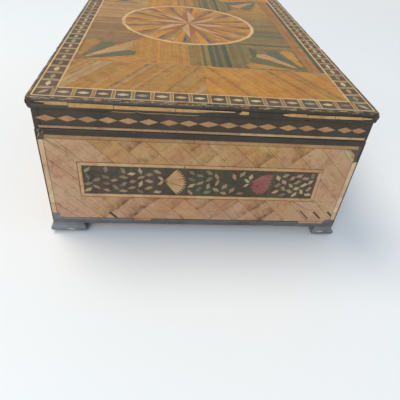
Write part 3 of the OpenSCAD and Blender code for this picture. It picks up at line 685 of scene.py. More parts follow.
def stations(low, high, pitch, jitter, rng):
    """Places from low to high, about pitch apart."""
    found = [low]
    while found[-1] < high:
        found.append(found[-1] + pitch * (1 + rng.uniform(-jitter, jitter)))
    return found


def wall_tint(u, v, half, rng):
    """Golden in the upper middle, rosier towards the foot and the ends."""
    low = 1 - (v - Z_WALL) / (Z_LINE - Z_WALL)
    end = max(0.0, min(1.0, (abs(u) - half + 40) / 30))
    rosy = max(0.0, min(1.0, 0.75 * low + 0.2 * end + rng.uniform(-0.25, 0.25)))
    return vary(blend_colours(WALL_GOLD, WALL_PINK, rosy), rng, 0.045)


def lattice_cell(s0, s1, t0, t1):
    """The corners of a cell of the lattice: s runs down to the right along the bands, t across them."""
    along, across = polar(1, BAND_WAY), polar(1, BAND_WAY + 90)
    return [along * s + across * t for s, t in ((s0, t0), (s1, t0), (s1, t1), (s0, t1))]


def lay_cell(work, face, cell, room, holes, tint, across, count, soil, fade):
    """One square or one long stretch of a band, as count splints laid along or across the band."""
    s0, s1, t0, t1 = cell
    cuts = sorted(work.rng.uniform(-0.12, 0.12) / count + k / count for k in range(1, count))
    cuts = [0.0, *cuts, 1.0]
    for a, b in zip(cuts, cuts[1:]):
        if across:
            outline = lattice_cell(s0 + (s1 - s0) * a, s0 + (s1 - s0) * b, t0, t1)
        else:
            outline = lattice_cell(s0, s1, t0 + (t1 - t0) * a, t0 + (t1 - t0) * b)
        outline = clip_box(outline, *room)
        if not outline:
            continue
        own = vary(tint, work.rng, 0.03)
        angle = BAND_WAY + (90 if across else 0)
        for part in less_all(outline, holes):
            work.piece(face, part, own, angle, gap=0.012, soil=soil, fade=fade)


def wall_straw(side):
    """Bands that slant down to the right, of plaited squares in the middle and of long splints at the two ends."""
    face = WALLS[side]
    half = side_width(side) / 2
    work = StrawWork(f"wall_straw_{SIDE_NAMES[side]}", 40 + side)
    rng = work.rng
    room = (FIELD_IN - half, half - FIELD_IN, Z_BASE, Z_LINE)
    holes = [rectangle(PANEL_MARGIN - half, half - PANEL_MARGIN, Z_PANEL, Z_PANEL_TOP)]
    if side == RIGHT:
        holes += [[Vector(p) for p in hole] for hole in (LOST_CORNER, SCRAP_SPLINT, *SLIVERS)]
        holes = [hole if area(hole) > 0 else hole[::-1] for hole in holes]
    along, across = polar(1, BAND_WAY), polar(1, BAND_WAY + 90)
    corners = rectangle(*room)
    s_reach = [p.dot(along) for p in corners]
    t_reach = [p.dot(across) for p in corners]
    bands = stations(min(t_reach) - rng.uniform(0, 9), max(t_reach), BAND_PITCH, 0.07, rng)
    seams = stations(min(s_reach) - rng.uniform(0, 9), max(s_reach) + SQUARE_PITCH, SQUARE_PITCH, 0.05, rng)
    for j, (t0, t1) in enumerate(zip(bands, bands[1:])):
        t0, t1 = t0 + BAND_GAP, t1 - BAND_GAP
        middle_t = across * ((t0 + t1) / 2)
        cuts = []
        for seam in seams:
            seam += rng.uniform(-1.1, 1.1)
            u = (along * seam + middle_t).x
            if MARGIN_IN - half < u < half - MARGIN_IN:
                cuts.append(seam)
        cuts = [min(s_reach) - 1, *cuts, max(s_reach) + 1]
        for i, (s0, s1) in enumerate(zip(cuts, cuts[1:])):
            centre = along * ((s0 + s1) / 2) + middle_t
            if i == 0 or i == len(cuts) - 2:
                left = i == 0
                edge = along * (s1 if left else s0) + middle_t
                tint = blend_colours(wall_tint(edge.x, edge.y, half, rng), MARGIN_TAN, 0.6)
                count = rng.choice((2, 2, 3)) if left else 1
                cell = (s0, s1, t0, t1)
                lay_cell(work, face, cell, room, holes, tint, False, count, 0.42 if left else 0.3, None)
                continue
            tint = wall_tint(centre.x, centre.y, half, rng)
            fade = (BAND_WAY, s0, s1, rng.uniform(0.55, 1.0)) if rng.random() < 0.75 else None
            lay_cell(work, face, (s0, s1, t0, t1), room, holes, tint, (i + j) % 2, rng.choice((2, 3)), 0.24, fade)
    if side == RIGHT:
        work.piece(face, SCRAP_SPLINT, SCRAP_STRAW, BAND_WAY, gap=0.1, soil=0.5)
    work.build("box", STRAW, "wall_straw", f"straw_{SIDE_NAMES[side]}")


def wall_lines(side):
    """Light lines at the upright corners, under the rim and along the foot, and the frame round the flower panel."""
    face = WALLS[side]
    half = side_width(side) / 2
    worn = side == RIGHT
    work = StrawWork(f"wall_lines_{SIDE_NAMES[side]}", 60 + side)
    for end in (-1, 1):
        edges = sorted((end * (half - CORNER_DARK_W - 0.05), end * (half - FIELD_IN + 0.15)))
        lost = (CORNER_LOST if end > 0 else CORNER_BLOCK) if worn else ()
        run = (Z_WALL, Z_LINE)
        long_strip(work, face, run, (-edges[1], -edges[0]), CORNER_STRAW, angle=90, lost=lost, lengths=(9, 26))
    ends = RIM_LINE_RUN if worn else (CORNER_DARK_W - half + 2, half - CORNER_DARK_W - 3)
    long_strip(work, face, ends, (Z_LINE + 0.12, Z_BAND), RIM_STRAW, lengths=(50, 120))
    foot = (FIELD_IN - half, half - FIELD_IN)
    long_strip(work, face, foot, (Z_WALL + 0.05, Z_BASE - 0.08), BASE_STRAW, lost=BASE_LOST if worn else ())
    # Grey bare patches at the foot, lit at the left and shaded to the right in painted light and shade.
    for points, tint in GREY_PATCHES if worn else ():
        work.piece(face, points, vary(tint, work.rng, 0.05), 0, 0.02, 0.45, 0.0, 0.6)
    for points in CORNER_SCRATCHES if worn else ():
        work.piece(face, points, WEAR_AND_HIGHLIGHT_LINE, 60, 0.02, 0.06, 0.0, 0.2)
    middle = (0, (Z_PANEL + Z_PANEL_TOP) / 2)
    width, height = 2 * (half - PANEL_MARGIN), Z_PANEL_TOP - Z_PANEL
    outer_w = FRAME_W * 0.14
    dull = blend_colours(WALL_PINK, FRAME_STRAW, 0.3)
    right_line = dull if worn else GREY_BROWN
    tints = (GREY_BROWN, right_line, GREY_BROWN, GREY_BROWN)
    mitred_strips(work, face, width, height, outer_w, tints, middle)
    inner_w = FRAME_W - outer_w
    right_tint = dull if worn else FRAME_STRAW
    tints = (FRAME_STRAW, right_tint, FRAME_STRAW, FRAME_STRAW)
    mitred_strips(work, face, width - 2 * outer_w, height - 2 * outer_w, inner_w, tints, middle)
    return work


# Flower panels

PANEL_H = Z_PANEL_TOP - Z_PANEL - 2 * FRAME_W
FOOT_LEAF_BACK, FOOT_LEAF_ASIDE, FOOT_LEAF_LEAN = 0.4, 0.36, 32
ROW_PITCH = 5.4
COLUMN_PITCH = 5.5
DENSE_PITCH = 4.5
SWAY = 0.45
EDGE_GAP = 2.6
CLEAR_BEHIND, CLEAR_AHEAD, CLEAR_BESIDE = 1.5, 0.25, 0.8

# The two fans: where each petal edge lies in degrees, its reach at given degrees, and its teeth
CREAM_SPLITS = (-53, -18, 10, 50)
CREAM_REACH = ((-53, 14.8), (-19, 15.2), (0, 14.8), (25, 13.8), (50, 13.2))
CREAM_TEETH, CREAM_TOOTH_D = 13, 2.6
ROSE_SPLITS = (-76, 45)
ROSE_REACH = (
    (-76, 3.6), (-66, 7.2), (-58, 10.6), (-48, 13.2), (-23, 15.2), (5, 15.4), (29, 17.2), (38, 12.6), (45, 5.6)
)
ROSE_TEETH, ROSE_TOOTH_D = 14, 2.5
BUD_SIZE, BUD_BACK = (2.6, 1.2), 1.0


def panel_width(side):
    return side_width(side) - 2 * PANEL_MARGIN - 2 * FRAME_W


def flower_places(side):
    half = panel_width(side) / 2
    places = []
    for i in range(-8, 9):
        u = FLOWER_FIRST + i * FLOWER_PITCH
        if u > 12 - half and u + FLOWER_L < half - 6:
            places.append((u, abs(i) % 2))
    return places


def clear_of(u, v, flower):
    along = u - flower
    return (
        along < -LEAF_L * CLEAR_BEHIND
        or along > FLOWER_L + LEAF_L * CLEAR_AHEAD
        or abs(v) > max(0, along) + LEAF_L * CLEAR_BESIDE
    )


def past_rose(side, u):
    return any(0 < u - f < 42 for f, kind in flower_places(side) if kind == 1)


def leaf_places(side):
    """Loose leaves in staggered columns of four and three, each swayed a little, and closer past a rose flower."""
    flowers = flower_places(side)
    most = math.floor((PANEL_H - 2 * EDGE_GAP) / ROW_PITCH) + 1
    half = panel_width(side) / 2 - EDGE_GAP
    places = []
    here = -half + 0.6
    c = 0
    while here < half:
        rows = most - c % 2
        for r in range(rows):
            u = here + SWAY * (2 * noise(c, r + 7 * side) - 1)
            v = (r - (rows - 1) / 2) * ROW_PITCH + SWAY * (2 * noise(r + 3, c + 5 * side) - 1)
            turn = 26 * math.sin(math.radians(c * 47 + r * 130)) + 62 * (2 * noise(c + 11, r + side) - 1)
            if all(clear_of(u, v, f[0]) for f in flowers):
                places.append((u, v, turn))
        here += DENSE_PITCH if past_rose(side, here) else COLUMN_PITCH
        c += 1
    return places


def between(places, at):
    """A value at a place, on straight lines between given (place, value) pairs."""
    for (a, low), (b, high) in zip(places, places[1:]):
        if at <= b:
            return low + (high - low) * (at - a) / (b - a)
    return places[-1][1]


def fan(work, face, at, splits, reach, teeth, tooth_d, tint):
    """A fan flower of a few petals, opening to the right from its foot, with a saw-toothed edge."""
    first, last = splits[0], splits[-1]
    step = (last - first) / (2 * teeth)
    stops = [first + step * i for i in range(2 * teeth + 1)]

    def tip(a):
        depth = tooth_d if round((a - first) / step) % 2 == 0 else 0.0
        return between(reach, a) - min(depth, 0.2 * between(reach, a))

    for low, high in zip(splits, splits[1:]):
        angles = [low + 0.7, *(a for a in stops if low + 1.3 < a < high - 1.3), high - 0.7]
        own = vary(tint, work.rng, 0.05)
        for a, b in zip(angles, angles[1:]):
            outline = [polar(tip(a), a), polar(tip(b), b), polar(0.5, b), polar(0.5, a)]
            way = (a + b) / 2
            foot = Vector(at).dot(polar(1, way + 180))
            fade = (way + 180, foot - 8.0, foot, 0.3)
            moved = [p + Vector(at) for p in outline]
            work.piece(face, moved, vary(own, work.rng, 0.05), way, 0.0, INLAY_T, 0.0, 0.06, fade)


def leaf_tint(side, u, rng):
    """Pale leaves to the right of a rose flower, and mixed ones elsewhere."""
    if past_rose(side, u):
        return rng.choice((LEAF_CREAM, LEAF_CREAM, LEAF_CREAM, LEAF_OLIVE, LEAF_PINK, LEAF_SAGE))
    mixed = (LEAF_CREAM, LEAF_OLIVE, LEAF_TAN, LEAF_SAGE, LEAF_GREY, LEAF_GREY, LEAF_TEAL, LEAF_PINK, LEAF_SAGE)
    return rng.choice(mixed)


def panel_ground(side):
    """The dark ground of a flower panel, of upright splints whose dye drifts from plum to green and back."""
    middle = (Z_PANEL + Z_PANEL_TOP) / 2
    half = panel_width(side) / 2
    ground = StrawWork(f"panel_ground_{SIDE_NAMES[side]}", 80 + side)
    here = -half
    while here < half:
        end = min(half, here + ground.rng.uniform(3, 6.5))
        outline = rectangle(here, end, middle - PANEL_H / 2, middle + PANEL_H / 2)
        drift = 0.5 + 0.5 * math.sin(here * 0.055 + side + 1.2)
        tint = vary(blend_colours(PANEL_PLUM, PANEL_GREEN, drift), ground.rng, 0.07)
        ground.piece(WALLS[side], outline, tint, 90, INLAY_T - VENEER_T + 0.12, VENEER_T - 0.12, gap=0.0, soil=0.25)
        here = end
    return ground


def flower_panel(side):
    face = WALLS[side]
    middle = (Z_PANEL + Z_PANEL_TOP) / 2
    work = StrawWork(f"flowers_{SIDE_NAMES[side]}", 90 + side)
    rng = work.rng
    for u, kind in flower_places(side):
        if kind == 0:
            fan(work, face, (u, middle + 0.8), CREAM_SPLITS, CREAM_REACH, CREAM_TEETH, CREAM_TOOTH_D, CREAM)
            bud = lozenge(*BUD_SIZE, (u - BUD_BACK, middle + 0.8))
            work.piece(face, bud, BUD_PINK, 0, 0.0, INLAY_T, 0.0, 0.1)
        else:
            fan(work, face, (u, middle + 0.8), ROSE_SPLITS, ROSE_REACH, ROSE_TEETH, ROSE_TOOTH_D, ROSE)
        for end in (-1, 1):
            place = (u - LEAF_L * FOOT_LEAF_BACK, middle + 0.8 + end * LEAF_L * FOOT_LEAF_ASIDE)
            outline = lozenge(LEAF_L, LEAF_W, place, end * -FOOT_LEAF_LEAN, 0.0, 0.5 * end)
            work.piece(face, outline, vary(LEAF_CREAM, rng, 0.06), end * -FOOT_LEAF_LEAN, 0.0, INLAY_T, 0.0, 0.3)
    for u, v, turn in leaf_places(side):
        dense = past_rose(side, u)
        length = LEAF_L * (rng.uniform(0.95, 1.1) if dense else rng.uniform(1.05, 1.28))
        width = LEAF_W * (rng.uniform(1.15, 1.4) if dense else rng.uniform(1.05, 1.3))
        outline = lozenge(length, width, (u, v + middle), turn, rng.uniform(-0.02, 0.05), rng.uniform(-1.1, 1.1))
        work.piece(face, outline, vary(leaf_tint(side, u, rng), rng, 0.14), turn, 0.0, INLAY_T, 0.0, 0.3)
    work.build("box", LINE, "flower_straw", f"flowers_{SIDE_NAMES[side]}")


# Lid

BORDER_GEM_L = 7.9
BORDER_GEM_W = 3.4
LINE_IN = TOP_IN + OUTER_LINE_W + BORDER_W
FIELD_IN_TOP = LINE_IN + INNER_LINE_W


def border_cells(side):
    return round((side_width(side) - 2 * LINE_IN) / BORDER_PITCH)


def on_top(side, points):
    """Points drawn for the right end of the lid, turned to the given side."""
    return turned(points, -90 * side)


def lid_border():
    """Dark dyed cells with pale lozenges, and the triple bars between them."""
    cells = StrawWork("border_cells", 101)
    bars = StrawWork("border_bars", 102)
    gems = StrawWork("border_gems", 103)
    darks = (DARK, DARK, DARK_GREEN, DARK_BLUE, DARK_PLUM)
    pales = (GEM_CREAM, GEM_CREAM, CREAM, LEAF_CREAM, LEAF_OLIVE)
    for side in range(4):
        count = border_cells(side)
        run = side_width(side) - 2 * LINE_IN
        pitch = run / count
        low = TOP_IN + OUTER_LINE_W - side_half(side)
        high = low + BORDER_W
        for i in range(count + 1):
            x = i * pitch - run / 2
            cuts = (-DIVIDER_W / 2, -DIVIDER_W * 0.3, DIVIDER_W * 0.3, DIVIDER_W / 2)
            for k, tint in enumerate((PALE_STRAW, BAR_OLIVE, PALE_STRAW)):
                outline = on_top(side, rectangle(x + cuts[k], x + cuts[k + 1], low, high))
                bars.piece(TOP, outline, vary(tint, bars.rng, 0.14), 90 - 90 * side, 0.0, INLAY_T, gap=0.01)
            if i < count:
                ends = (x + DIVIDER_W / 2, x + pitch - DIVIDER_W / 2)
                tint = vary(cells.rng.choice(darks), cells.rng, 0.12)
                outline = on_top(side, rectangle(*ends, low, high))
                cells.piece(TOP, outline, tint, -90 * side, -0.04, VENEER_T - 0.04)
                sway = cells.rng.uniform(-0.3, 0.3)
                at = on_top(side, [(x + pitch / 2 + sway, (low + high) / 2 + sway / 2)])[0]
                tint = vary(gems.rng.choice(pales), gems.rng, 0.16)
                length = min(BORDER_GEM_L, pitch - DIVIDER_W - 0.9) * gems.rng.uniform(0.9, 1.02)
                gem = lozenge(length, BORDER_GEM_W * gems.rng.uniform(0.85, 1.1), at, -90 * side, 0.1)
                gems.piece(TOP, gem, tint, -90 * side, 0.0, INLAY_T, gap=0.0, soil=0.4)
        corner = -run / 2
        outline = on_top(side, rectangle(corner - BORDER_W, corner - DIVIDER_W / 2, low, high - DIVIDER_W / 2))
        cells.piece(TOP, outline, vary(DARK, cells.rng, 0.15), -90 * side, -0.04, VENEER_T - 0.04)
        at = on_top(side, [(corner - BORDER_W / 2 - DIVIDER_W / 4, (low + high) / 2 - DIVIDER_W / 4)])[0]
        gem = lozenge(BORDER_GEM_L, BORDER_GEM_W * 0.9, at, 45 - 90 * side, 0.1)
        gems.piece(TOP, gem, vary(LEAF_CREAM, gems.rng, 0.1), 45, 0.0, INLAY_T, gap=0.0, soil=0.4)
    cells.build("lid", DARK_STRAW, "dark_straw", "border_ground")
    bars.build("lid", LINE, "light_straw", "border_dividers")
    gems.build("lid", LINE, "flower_straw", "border_lozenges")


def lid_lines():
    outer = StrawWork("lid_outer_straw", 111)
    mitred_strips(outer, TOP, 2 * (HALF_X - TOP_IN), 2 * (HALF_Y - TOP_IN), OUTER_LINE_W, (PALE_STRAW,) * 4)
    outer.build("lid", LINE, "light_straw", "lid_outer_line")
    inner = StrawWork("lid_inner_straw", 112)
    width, length = 2 * (HALF_X - LINE_IN), 2 * (HALF_Y - LINE_IN)
    mitred_strips(inner, TOP, width, length, INNER_LINE_W, (PALE_STRAW,) * 4)
    inner.build("lid", LINE, "light_straw", "lid_inner_line")


def slanting(work, room, angle, widths, tints):
    """Long splints laid side by side at an angle and cut off at the edges of a room on the lid."""
    rng = work.rng
    left, right, low, high = room
    way, side = polar(1, angle), polar(1, angle + 90)
    reach = [p.dot(side) for p in rectangle(*room)]
    far = (right - left) + (high - low)
    centre = way * Vector(((left + right) / 2, (low + high) / 2)).dot(way)
    here = min(reach)
    while here < max(reach):
        there = here + rng.uniform(*widths)
        quad = [centre + way * x + side * y for x, y in ((-far, here), (far, here), (far, there), (-far, there))]
        outline = clip_box(quad, *room)
        if outline:
            tint = vary(blend_colours(rng.choice(tints), rng.choice(tints), rng.random()), rng, 0.07)
            across = angle + 90
            fade = (across, here - 1, there, rng.uniform(0.35, 0.95)) if rng.random() < 0.55 else None
            work.piece(TOP, outline, tint, angle, 0.0, VENEER_T, 0.012, rng.uniform(0.1, 0.4), fade)
        here = there


BAND_SLANT = 62


def lid_bands():
    """Slanting straw at the two ends of the lid, meeting in a chevron at the middle. The right half of each band takes
    the straw's own orange, made brighter than the left half as a painted sheen.
    """
    reach = HALF_X - FIELD_IN_TOP
    for name, end, seed in (("right", -1, 121), ("left", 1, 122)):
        work = StrawWork(f"lid_band_{name}", seed)
        low, high = sorted((end * BAND_OUT, end * BAND_IN))
        left_way, right_way = (BAND_SLANT, 180 - BAND_SLANT) if end < 0 else (180 - BAND_SLANT, BAND_SLANT)
        slanting(work, (-reach, 0, low, high), left_way, (3.6, 6.6), (OCHRE, OCHRE, WALL_GOLD))
        # Brighter orange on the right half: the straw's own orange with a painted sheen.
        slanting(work, (0, reach, low, high), right_way, (3.6, 6.6), (ORANGE, OCHRE, ORANGE))
        work.build("lid", STRAW, "band_straw", f"straw_band_{name}")


# Middle field of the lid: a plain star in a ring, on four plain quarters, with a fan in each corner

STAR_POINTS = 8
STAR_R = 42.0
STAR_WAIST = 0.42
RING_R = 58.0
RING_T = 3.0
RAY_COUNT = 32
RAY_AT = 47.0
CORNER_RAYS = 5
CORNER_IN_R = 8.0
CORNER_R = 40.0
CORNER_PEAK = 1.08


def quarter_splints(work, corners, angle, widths, tints):
    """Splints of one direction that fill a triangle, with tints that drift from the first to the last."""
    rng = work.rng
    way, side = polar(1, angle), polar(1, angle + 90)
    reach = [p.dot(side) for p in corners]
    low, high = min(reach), max(reach)
    far = 400
    edges = list(zip(corners, corners[1:] + corners[:1]))
    here = low
    while here < high:
        there = here + rng.uniform(*widths)
        outline = [way * x + side * y for x, y in ((-far, here), (far, here), (far, there), (-far, there))]
        for a, b in edges:
            outward = Vector((b.y - a.y, a.x - b.x)).normalized()
            if len(outline) > 2:
                outline = clip(outline, outward, a.dot(outward))
        if len(outline) > 2:
            place = (here - low) / (high - low) * (len(tints) - 1) + rng.uniform(-0.8, 0.8)
            place = max(0.0, min(len(tints) - 1.001, place))
            tint = blend_colours(tints[int(place)], tints[int(place) + 1], place - int(place))
            work.piece(TOP, outline, vary(tint, rng, 0.1), angle, -0.05, VENEER_T - 0.05, 0.01, rng.uniform(0.1, 0.4))
        here = there


def middle_field():
    ground = StrawWork("field_ground", 131)
    middle = Vector(((FIELD_LEFT + FIELD_RIGHT) / 2, 0))
    half_x = (FIELD_RIGHT - FIELD_LEFT) / 2
    near_left = middle + Vector((-half_x, -FIELD_HALF_Y))
    near_right = middle + Vector((half_x, -FIELD_HALF_Y))
    far_left = middle + Vector((-half_x, FIELD_HALF_Y))
    far_right = middle + Vector((half_x, FIELD_HALF_Y))
    near_tints = (
        GREY_GREEN, DEEP_GREEN, SEA_GREEN, OLIVE, DEEP_GREEN, OLIVE, OCHRE, ORANGE, OCHRE, WALL_GOLD, GREY_BROWN, GREY_BROWN
    )
    left_tints = (GREY_BROWN, GREY_GREEN, GREY_BROWN, WALL_GOLD, GREY_BROWN, GREY_GREEN)
    right_tints = (SEA_GREEN, OLIVE, SEA_BLUE, OLIVE, OCHRE, SEA_GREEN)
    quarter_splints(ground, [near_left, near_right, middle], 90, (1.6, 3.4), near_tints)
    quarter_splints(ground, [far_right, far_left, middle], 90, (1.6, 3.4), near_tints)
    quarter_splints(ground, [far_left, near_left, middle], 0, (2.2, 4.4), left_tints)
    quarter_splints(ground, [near_right, far_right, middle], 0, (2.2, 4.4), right_tints)
    ground.build("lid", STRAW, "field_straw", "picture_ground")

    inlay = StrawWork("field_star", 132)
    rng = inlay.rng
    wedge = 360 / 48
    for i in range(48):
        a = i * wedge
        tint = vary((OCHRE, ORANGE, GREY_BROWN)[i % 3], rng, 0.08)
        outline = [middle + p for p in (polar(3, a), polar(RING_R - RING_T, a), polar(RING_R - RING_T, a + wedge), polar(3, a + wedge))]
        inlay.piece(TOP, outline, tint, a + wedge / 2, -0.02, INLAY_T, 0.01, 0.3)
    segments = 24
    for i in range(segments):
        a, b = i * 360 / segments, (i + 1) * 360 / segments
        outline = [middle + p for p in (polar(RING_R, a), polar(RING_R, b), polar(RING_R - RING_T, b), polar(RING_R - RING_T, a))]
        inlay.piece(TOP, outline, vary(PALE_STRAW, rng, 0.08), a + 90, 0.0, INLAY_T, 0.0, 0.6)
    step = 180 / STAR_POINTS
    for i in range(STAR_POINTS):
        a = i * 360 / STAR_POINTS
        for way, tint in ((-1, CREAM), (1, RUST)):
            outline = [middle + p for p in (polar(0.3, a + way * step / 2), polar(STAR_R, a), polar(STAR_R * STAR_WAIST, a + way * step))]
            inlay.piece(TOP, outline, vary(tint, rng, 0.05), a, 0.0, INLAY_T, 0.02, 0.5)
    for i in range(RAY_COUNT):
        a = (i + 0.5) * 360 / RAY_COUNT
        tint = (CREAM, LEAF_TEAL)[i % 2]
        outline = lozenge(2 * LEAF_L, LEAF_W, middle + polar(RAY_AT, a), a, 0.1)
        inlay.piece(TOP, outline, vary(tint, rng, 0.1), a, 0.0, INLAY_T)
    for corner in (near_left, near_right, far_right, far_left):
        start = {(True, True): 0, (False, True): 90, (False, False): 180, (True, False): 270}[
            (corner.x < middle.x, corner.y < middle.y)
        ]
        foot = corner + Vector((1 if corner.x < middle.x else -1, 1 if corner.y < middle.y else -1))
        width = 90 / CORNER_RAYS
        for k in range(CORNER_RAYS):
            a = start + k * width
            outline = [foot + p for p in (
                polar(CORNER_IN_R, a + 3), polar(CORNER_R, a + 1), polar(CORNER_R * CORNER_PEAK, a + width / 2),
                polar(CORNER_R, a + width - 1), polar(CORNER_IN_R, a + width - 3),
            )]
            tint = vary((ORANGE, SEA_BLUE, WALL_GOLD, SEA_GREEN, OCHRE)[k], rng, 0.06)
            inlay.piece(TOP, outline, tint, a + width / 2, 0.0, INLAY_T, 0.02, 0.5)
    inlay.build("lid", STRAW, "star_straw", "picture_inlay")

    lines = StrawWork("field_lines", 133)
    reach = HALF_X - FIELD_IN_TOP
    for low, high in ((-BAND_IN, -FIELD_HALF_Y), (FIELD_HALF_Y, BAND_IN)):
        long_strip(lines, TOP, (-reach, reach), (low, high), LINE_STRAW)
    lines.build("lid", LINE, "light_straw", "picture_lines")
    green = StrawWork("field_green_strip", 134)
    low, high = mm_box("green_strip")
    long_strip(green, TOP, (-high.y, -low.y), (low.x, high.x), srgb(74, 84, 70), angle=90 - 180)
    green.build("lid", DARK_STRAW, "green_straw", "green_strip")
    plain = StrawWork("field_plain_strip", 135)
    low, high = mm_box("plain_strip")
    half = (low.x + high.x) / 2
    for a, b in ((low.x, half), (half, high.x)):
        long_strip(plain, TOP, (low.y, high.y), (-b, -a), PLAIN_BROWN, angle=90)
    plain.build("lid", STRAW, "band_straw", "plain_strip")


# Rails and edges of the lid

# What is left of the stripe of the right end: (u, share of the height at its lower and upper edge) along each piece
STRIPE_LEFT = (
    ((-96.0, 0.95, 1.1), (-91.2, 0.85, 1.2)),
    ((-91.2, 0.4, 1.2), (-78.6, 0.4, 1.22)),
    ((-78.4, 0.0, 1.06), (-54.0, 0.0, 1.0)),
    ((-53.8, 0.02, 0.9), (-20.0, 0.0, 0.9)),
    ((-19.8, 0.0, 0.86), (-6.0, 0.06, 0.84)),
    ((-6.0, 0.06, 0.84), (2.6, 0.4, 0.8)),
    ((2.6, 0.42, 0.72), (14.4, 0.5, 0.74)),
    ((16.6, 0.1, 0.12), (18.2, 0.0, 0.94)),
    ((18.2, 0.0, 0.94), (22.4, 0.1, 0.8)),
    ((42.6, 0.4, 0.66), (46.8, 0.1, 0.9)),
    ((46.8, 0.1, 0.9), (56.8, 0.05, 0.9)),
    ((57.0, 0.0, 0.76), (74.0, 0.0, 0.8)),
    ((74.2, 0.02, 0.8), (90.4, 0.06, 0.8)),
    ((90.4, 0.06, 0.78), (96.8, 0.3, 0.6)),
)
FRIEZE_END = 1.8
FRIEZE_L = 11.0
FRIEZE_LAST = ((78.6, 88.6), (87.4, 97.2))
FRIEZE_DRIFT = 0.036


def frieze():
    gems = StrawWork("frieze_gems", 141)
    lines = StrawWork("frieze_straw", 142)
    middle = (LOZENGE_LOW + LOZENGE_HIGH) / 2
    for side, face in enumerate(WALLS):
        run = side_width(side) - 2 * FRIEZE_END
        count = math.floor(run / (FRIEZE_L + 0.4))
        pitch = run / count
        for i in range(count):
            rng = gems.rng
            at = ((i + 0.5) * pitch - run / 2 + rng.uniform(-0.3, 0.3), middle + rng.uniform(-0.2, 0.2))
            length = pitch * rng.uniform(0.97, 1.04)
            if side == RIGHT and at[0] > 0:
                at, length = (at[0] * (1 + FRIEZE_DRIFT), at[1]), length * (1 + FRIEZE_DRIFT)
            if side == RIGHT and i >= count - 2:
                ends = FRIEZE_LAST[i - count + 2]
                at, length = ((ends[0] + ends[1]) / 2, middle), ends[1] - ends[0]
            tint = vary(blend_colours(GEM_STRAW, LINE_STRAW, rng.random() * 0.6), rng, 0.08)
            outline = lozenge(length, LOZENGE_HIGH - LOZENGE_LOW, at, rng.uniform(-1.5, 1.5), 0.03)
            gems.piece(face, outline, tint, rng.choice((0, 20, -20)), 0.0, INLAY_T, 0.02, 0.6)
        breaks = [(s - 15.3, s + 15.3) for s in (-90, 90)] if side == BACK else []
        breaks += [(-run / 2, -run / 2 + 1.0)] if side == RIGHT else []
        # The right part of each frieze line takes the paler tint as a painted highlight.
        for ends, tint in (((-run / 2, run * 0.1), FRIEZE_STRAW), ((run * 0.1, run / 2), WEAR_AND_HIGHLIGHT_LINE)):
            long_strip(lines, face, ends, (FRIEZE_LOW, FRIEZE_HIGH), tint, 0.0, INLAY_T, lost=breaks)
    gems.build("lid", LINE, "light_straw", "frieze_lozenges")
    lines.build("lid", LINE, "light_straw", "frieze_lines")


def edge_stripe():
    work = StrawWork("edge_straw", 143)
    for side, face in enumerate(WALLS):
        half = side_width(side) / 2
        band = (Z_STRIPE, Z_STRIPE + STRIPE_H)
        if side != RIGHT:
            long_strip(work, face, (-half, half), band, STRIPE_STRAW, OVERHANG - 0.02, 0.28)
            continue
        for (u0, low0, high0), (u1, low1, high1) in STRIPE_LEFT:
            outline = [(u0, low0), (u1, low1), (u1, high1), (u0, high0)]
            outline = [(u, Z_STRIPE + share * STRIPE_H) for u, share in outline]
            thin = max(high0 - low0, high1 - low1) < 0.35
            tint = vary(PALE_STRAW if thin else STRIPE_STRAW, work.rng, 0.08)
            work.piece(face, outline, tint, 0, OVERHANG - 0.005, 0.28, 0.01, 0.7)
    work.build("lid", LINE, "light_straw", "edge_stringing")


EDGE_ROUND = 2.0
EDGE_STEP = 1.6
CORNER_R_PLAN = 4.0
CORNER_STEPS = 5
WORN_RUN = (-55.0, -6.0)


def edge_profile():
    """The outer outline of the lid edge, from its underside round to its top: (in from the outer face, height)."""
    outline = [(6.0, Z_EDGE)]
    for i in range(7):
        a = math.radians(-90 - i * 15)
        outline.append((EDGE_ROUND + EDGE_ROUND * math.cos(a), Z_EDGE + EDGE_ROUND + EDGE_ROUND * math.sin(a)))
    groove = 0.3
    outline += [(0.0, Z_STRIPE), (groove, Z_STRIPE + 0.02), (groove, Z_STRIPE + STRIPE_H - 0.02), (0.0, Z_STRIPE + STRIPE_H)]
    for i in range(7):
        a = math.radians(180 - i * 15)
        outline.append((EDGE_ROUND + EDGE_ROUND * math.cos(a), Z_TOP - EDGE_ROUND + EDGE_ROUND * math.sin(a)))
    outline += [(LEDGE + 0.02, Z_TOP), (LEDGE + 0.02, Z_VENEER), (6.0, Z_VENEER)]
    return outline


def edge_places(run, inward):
    """Places along one length of the edge, at a distance in from its face: (along, back from the face)."""
    radius = CORNER_R_PLAN - inward
    turn_from = run - max(CORNER_R_PLAN, inward + 0.3)
    arc = []
    for i in range(1, CORNER_STEPS + 1):
        share = i / CORNER_STEPS
        if radius > 0.3:
            a = math.radians(45 * share)
            arc.append((turn_from + radius * math.sin(a), CORNER_R_PLAN - radius * math.cos(a)))
        else:
            arc.append((turn_from + 0.3 * share, inward))
    count = round(2 * run / EDGE_STEP)
    straight = [((i / count * 2 - 1) * turn_from, inward) for i in range(count + 1)]
    return [(-x, back) for x, back in reversed(arc)] + straight + arc


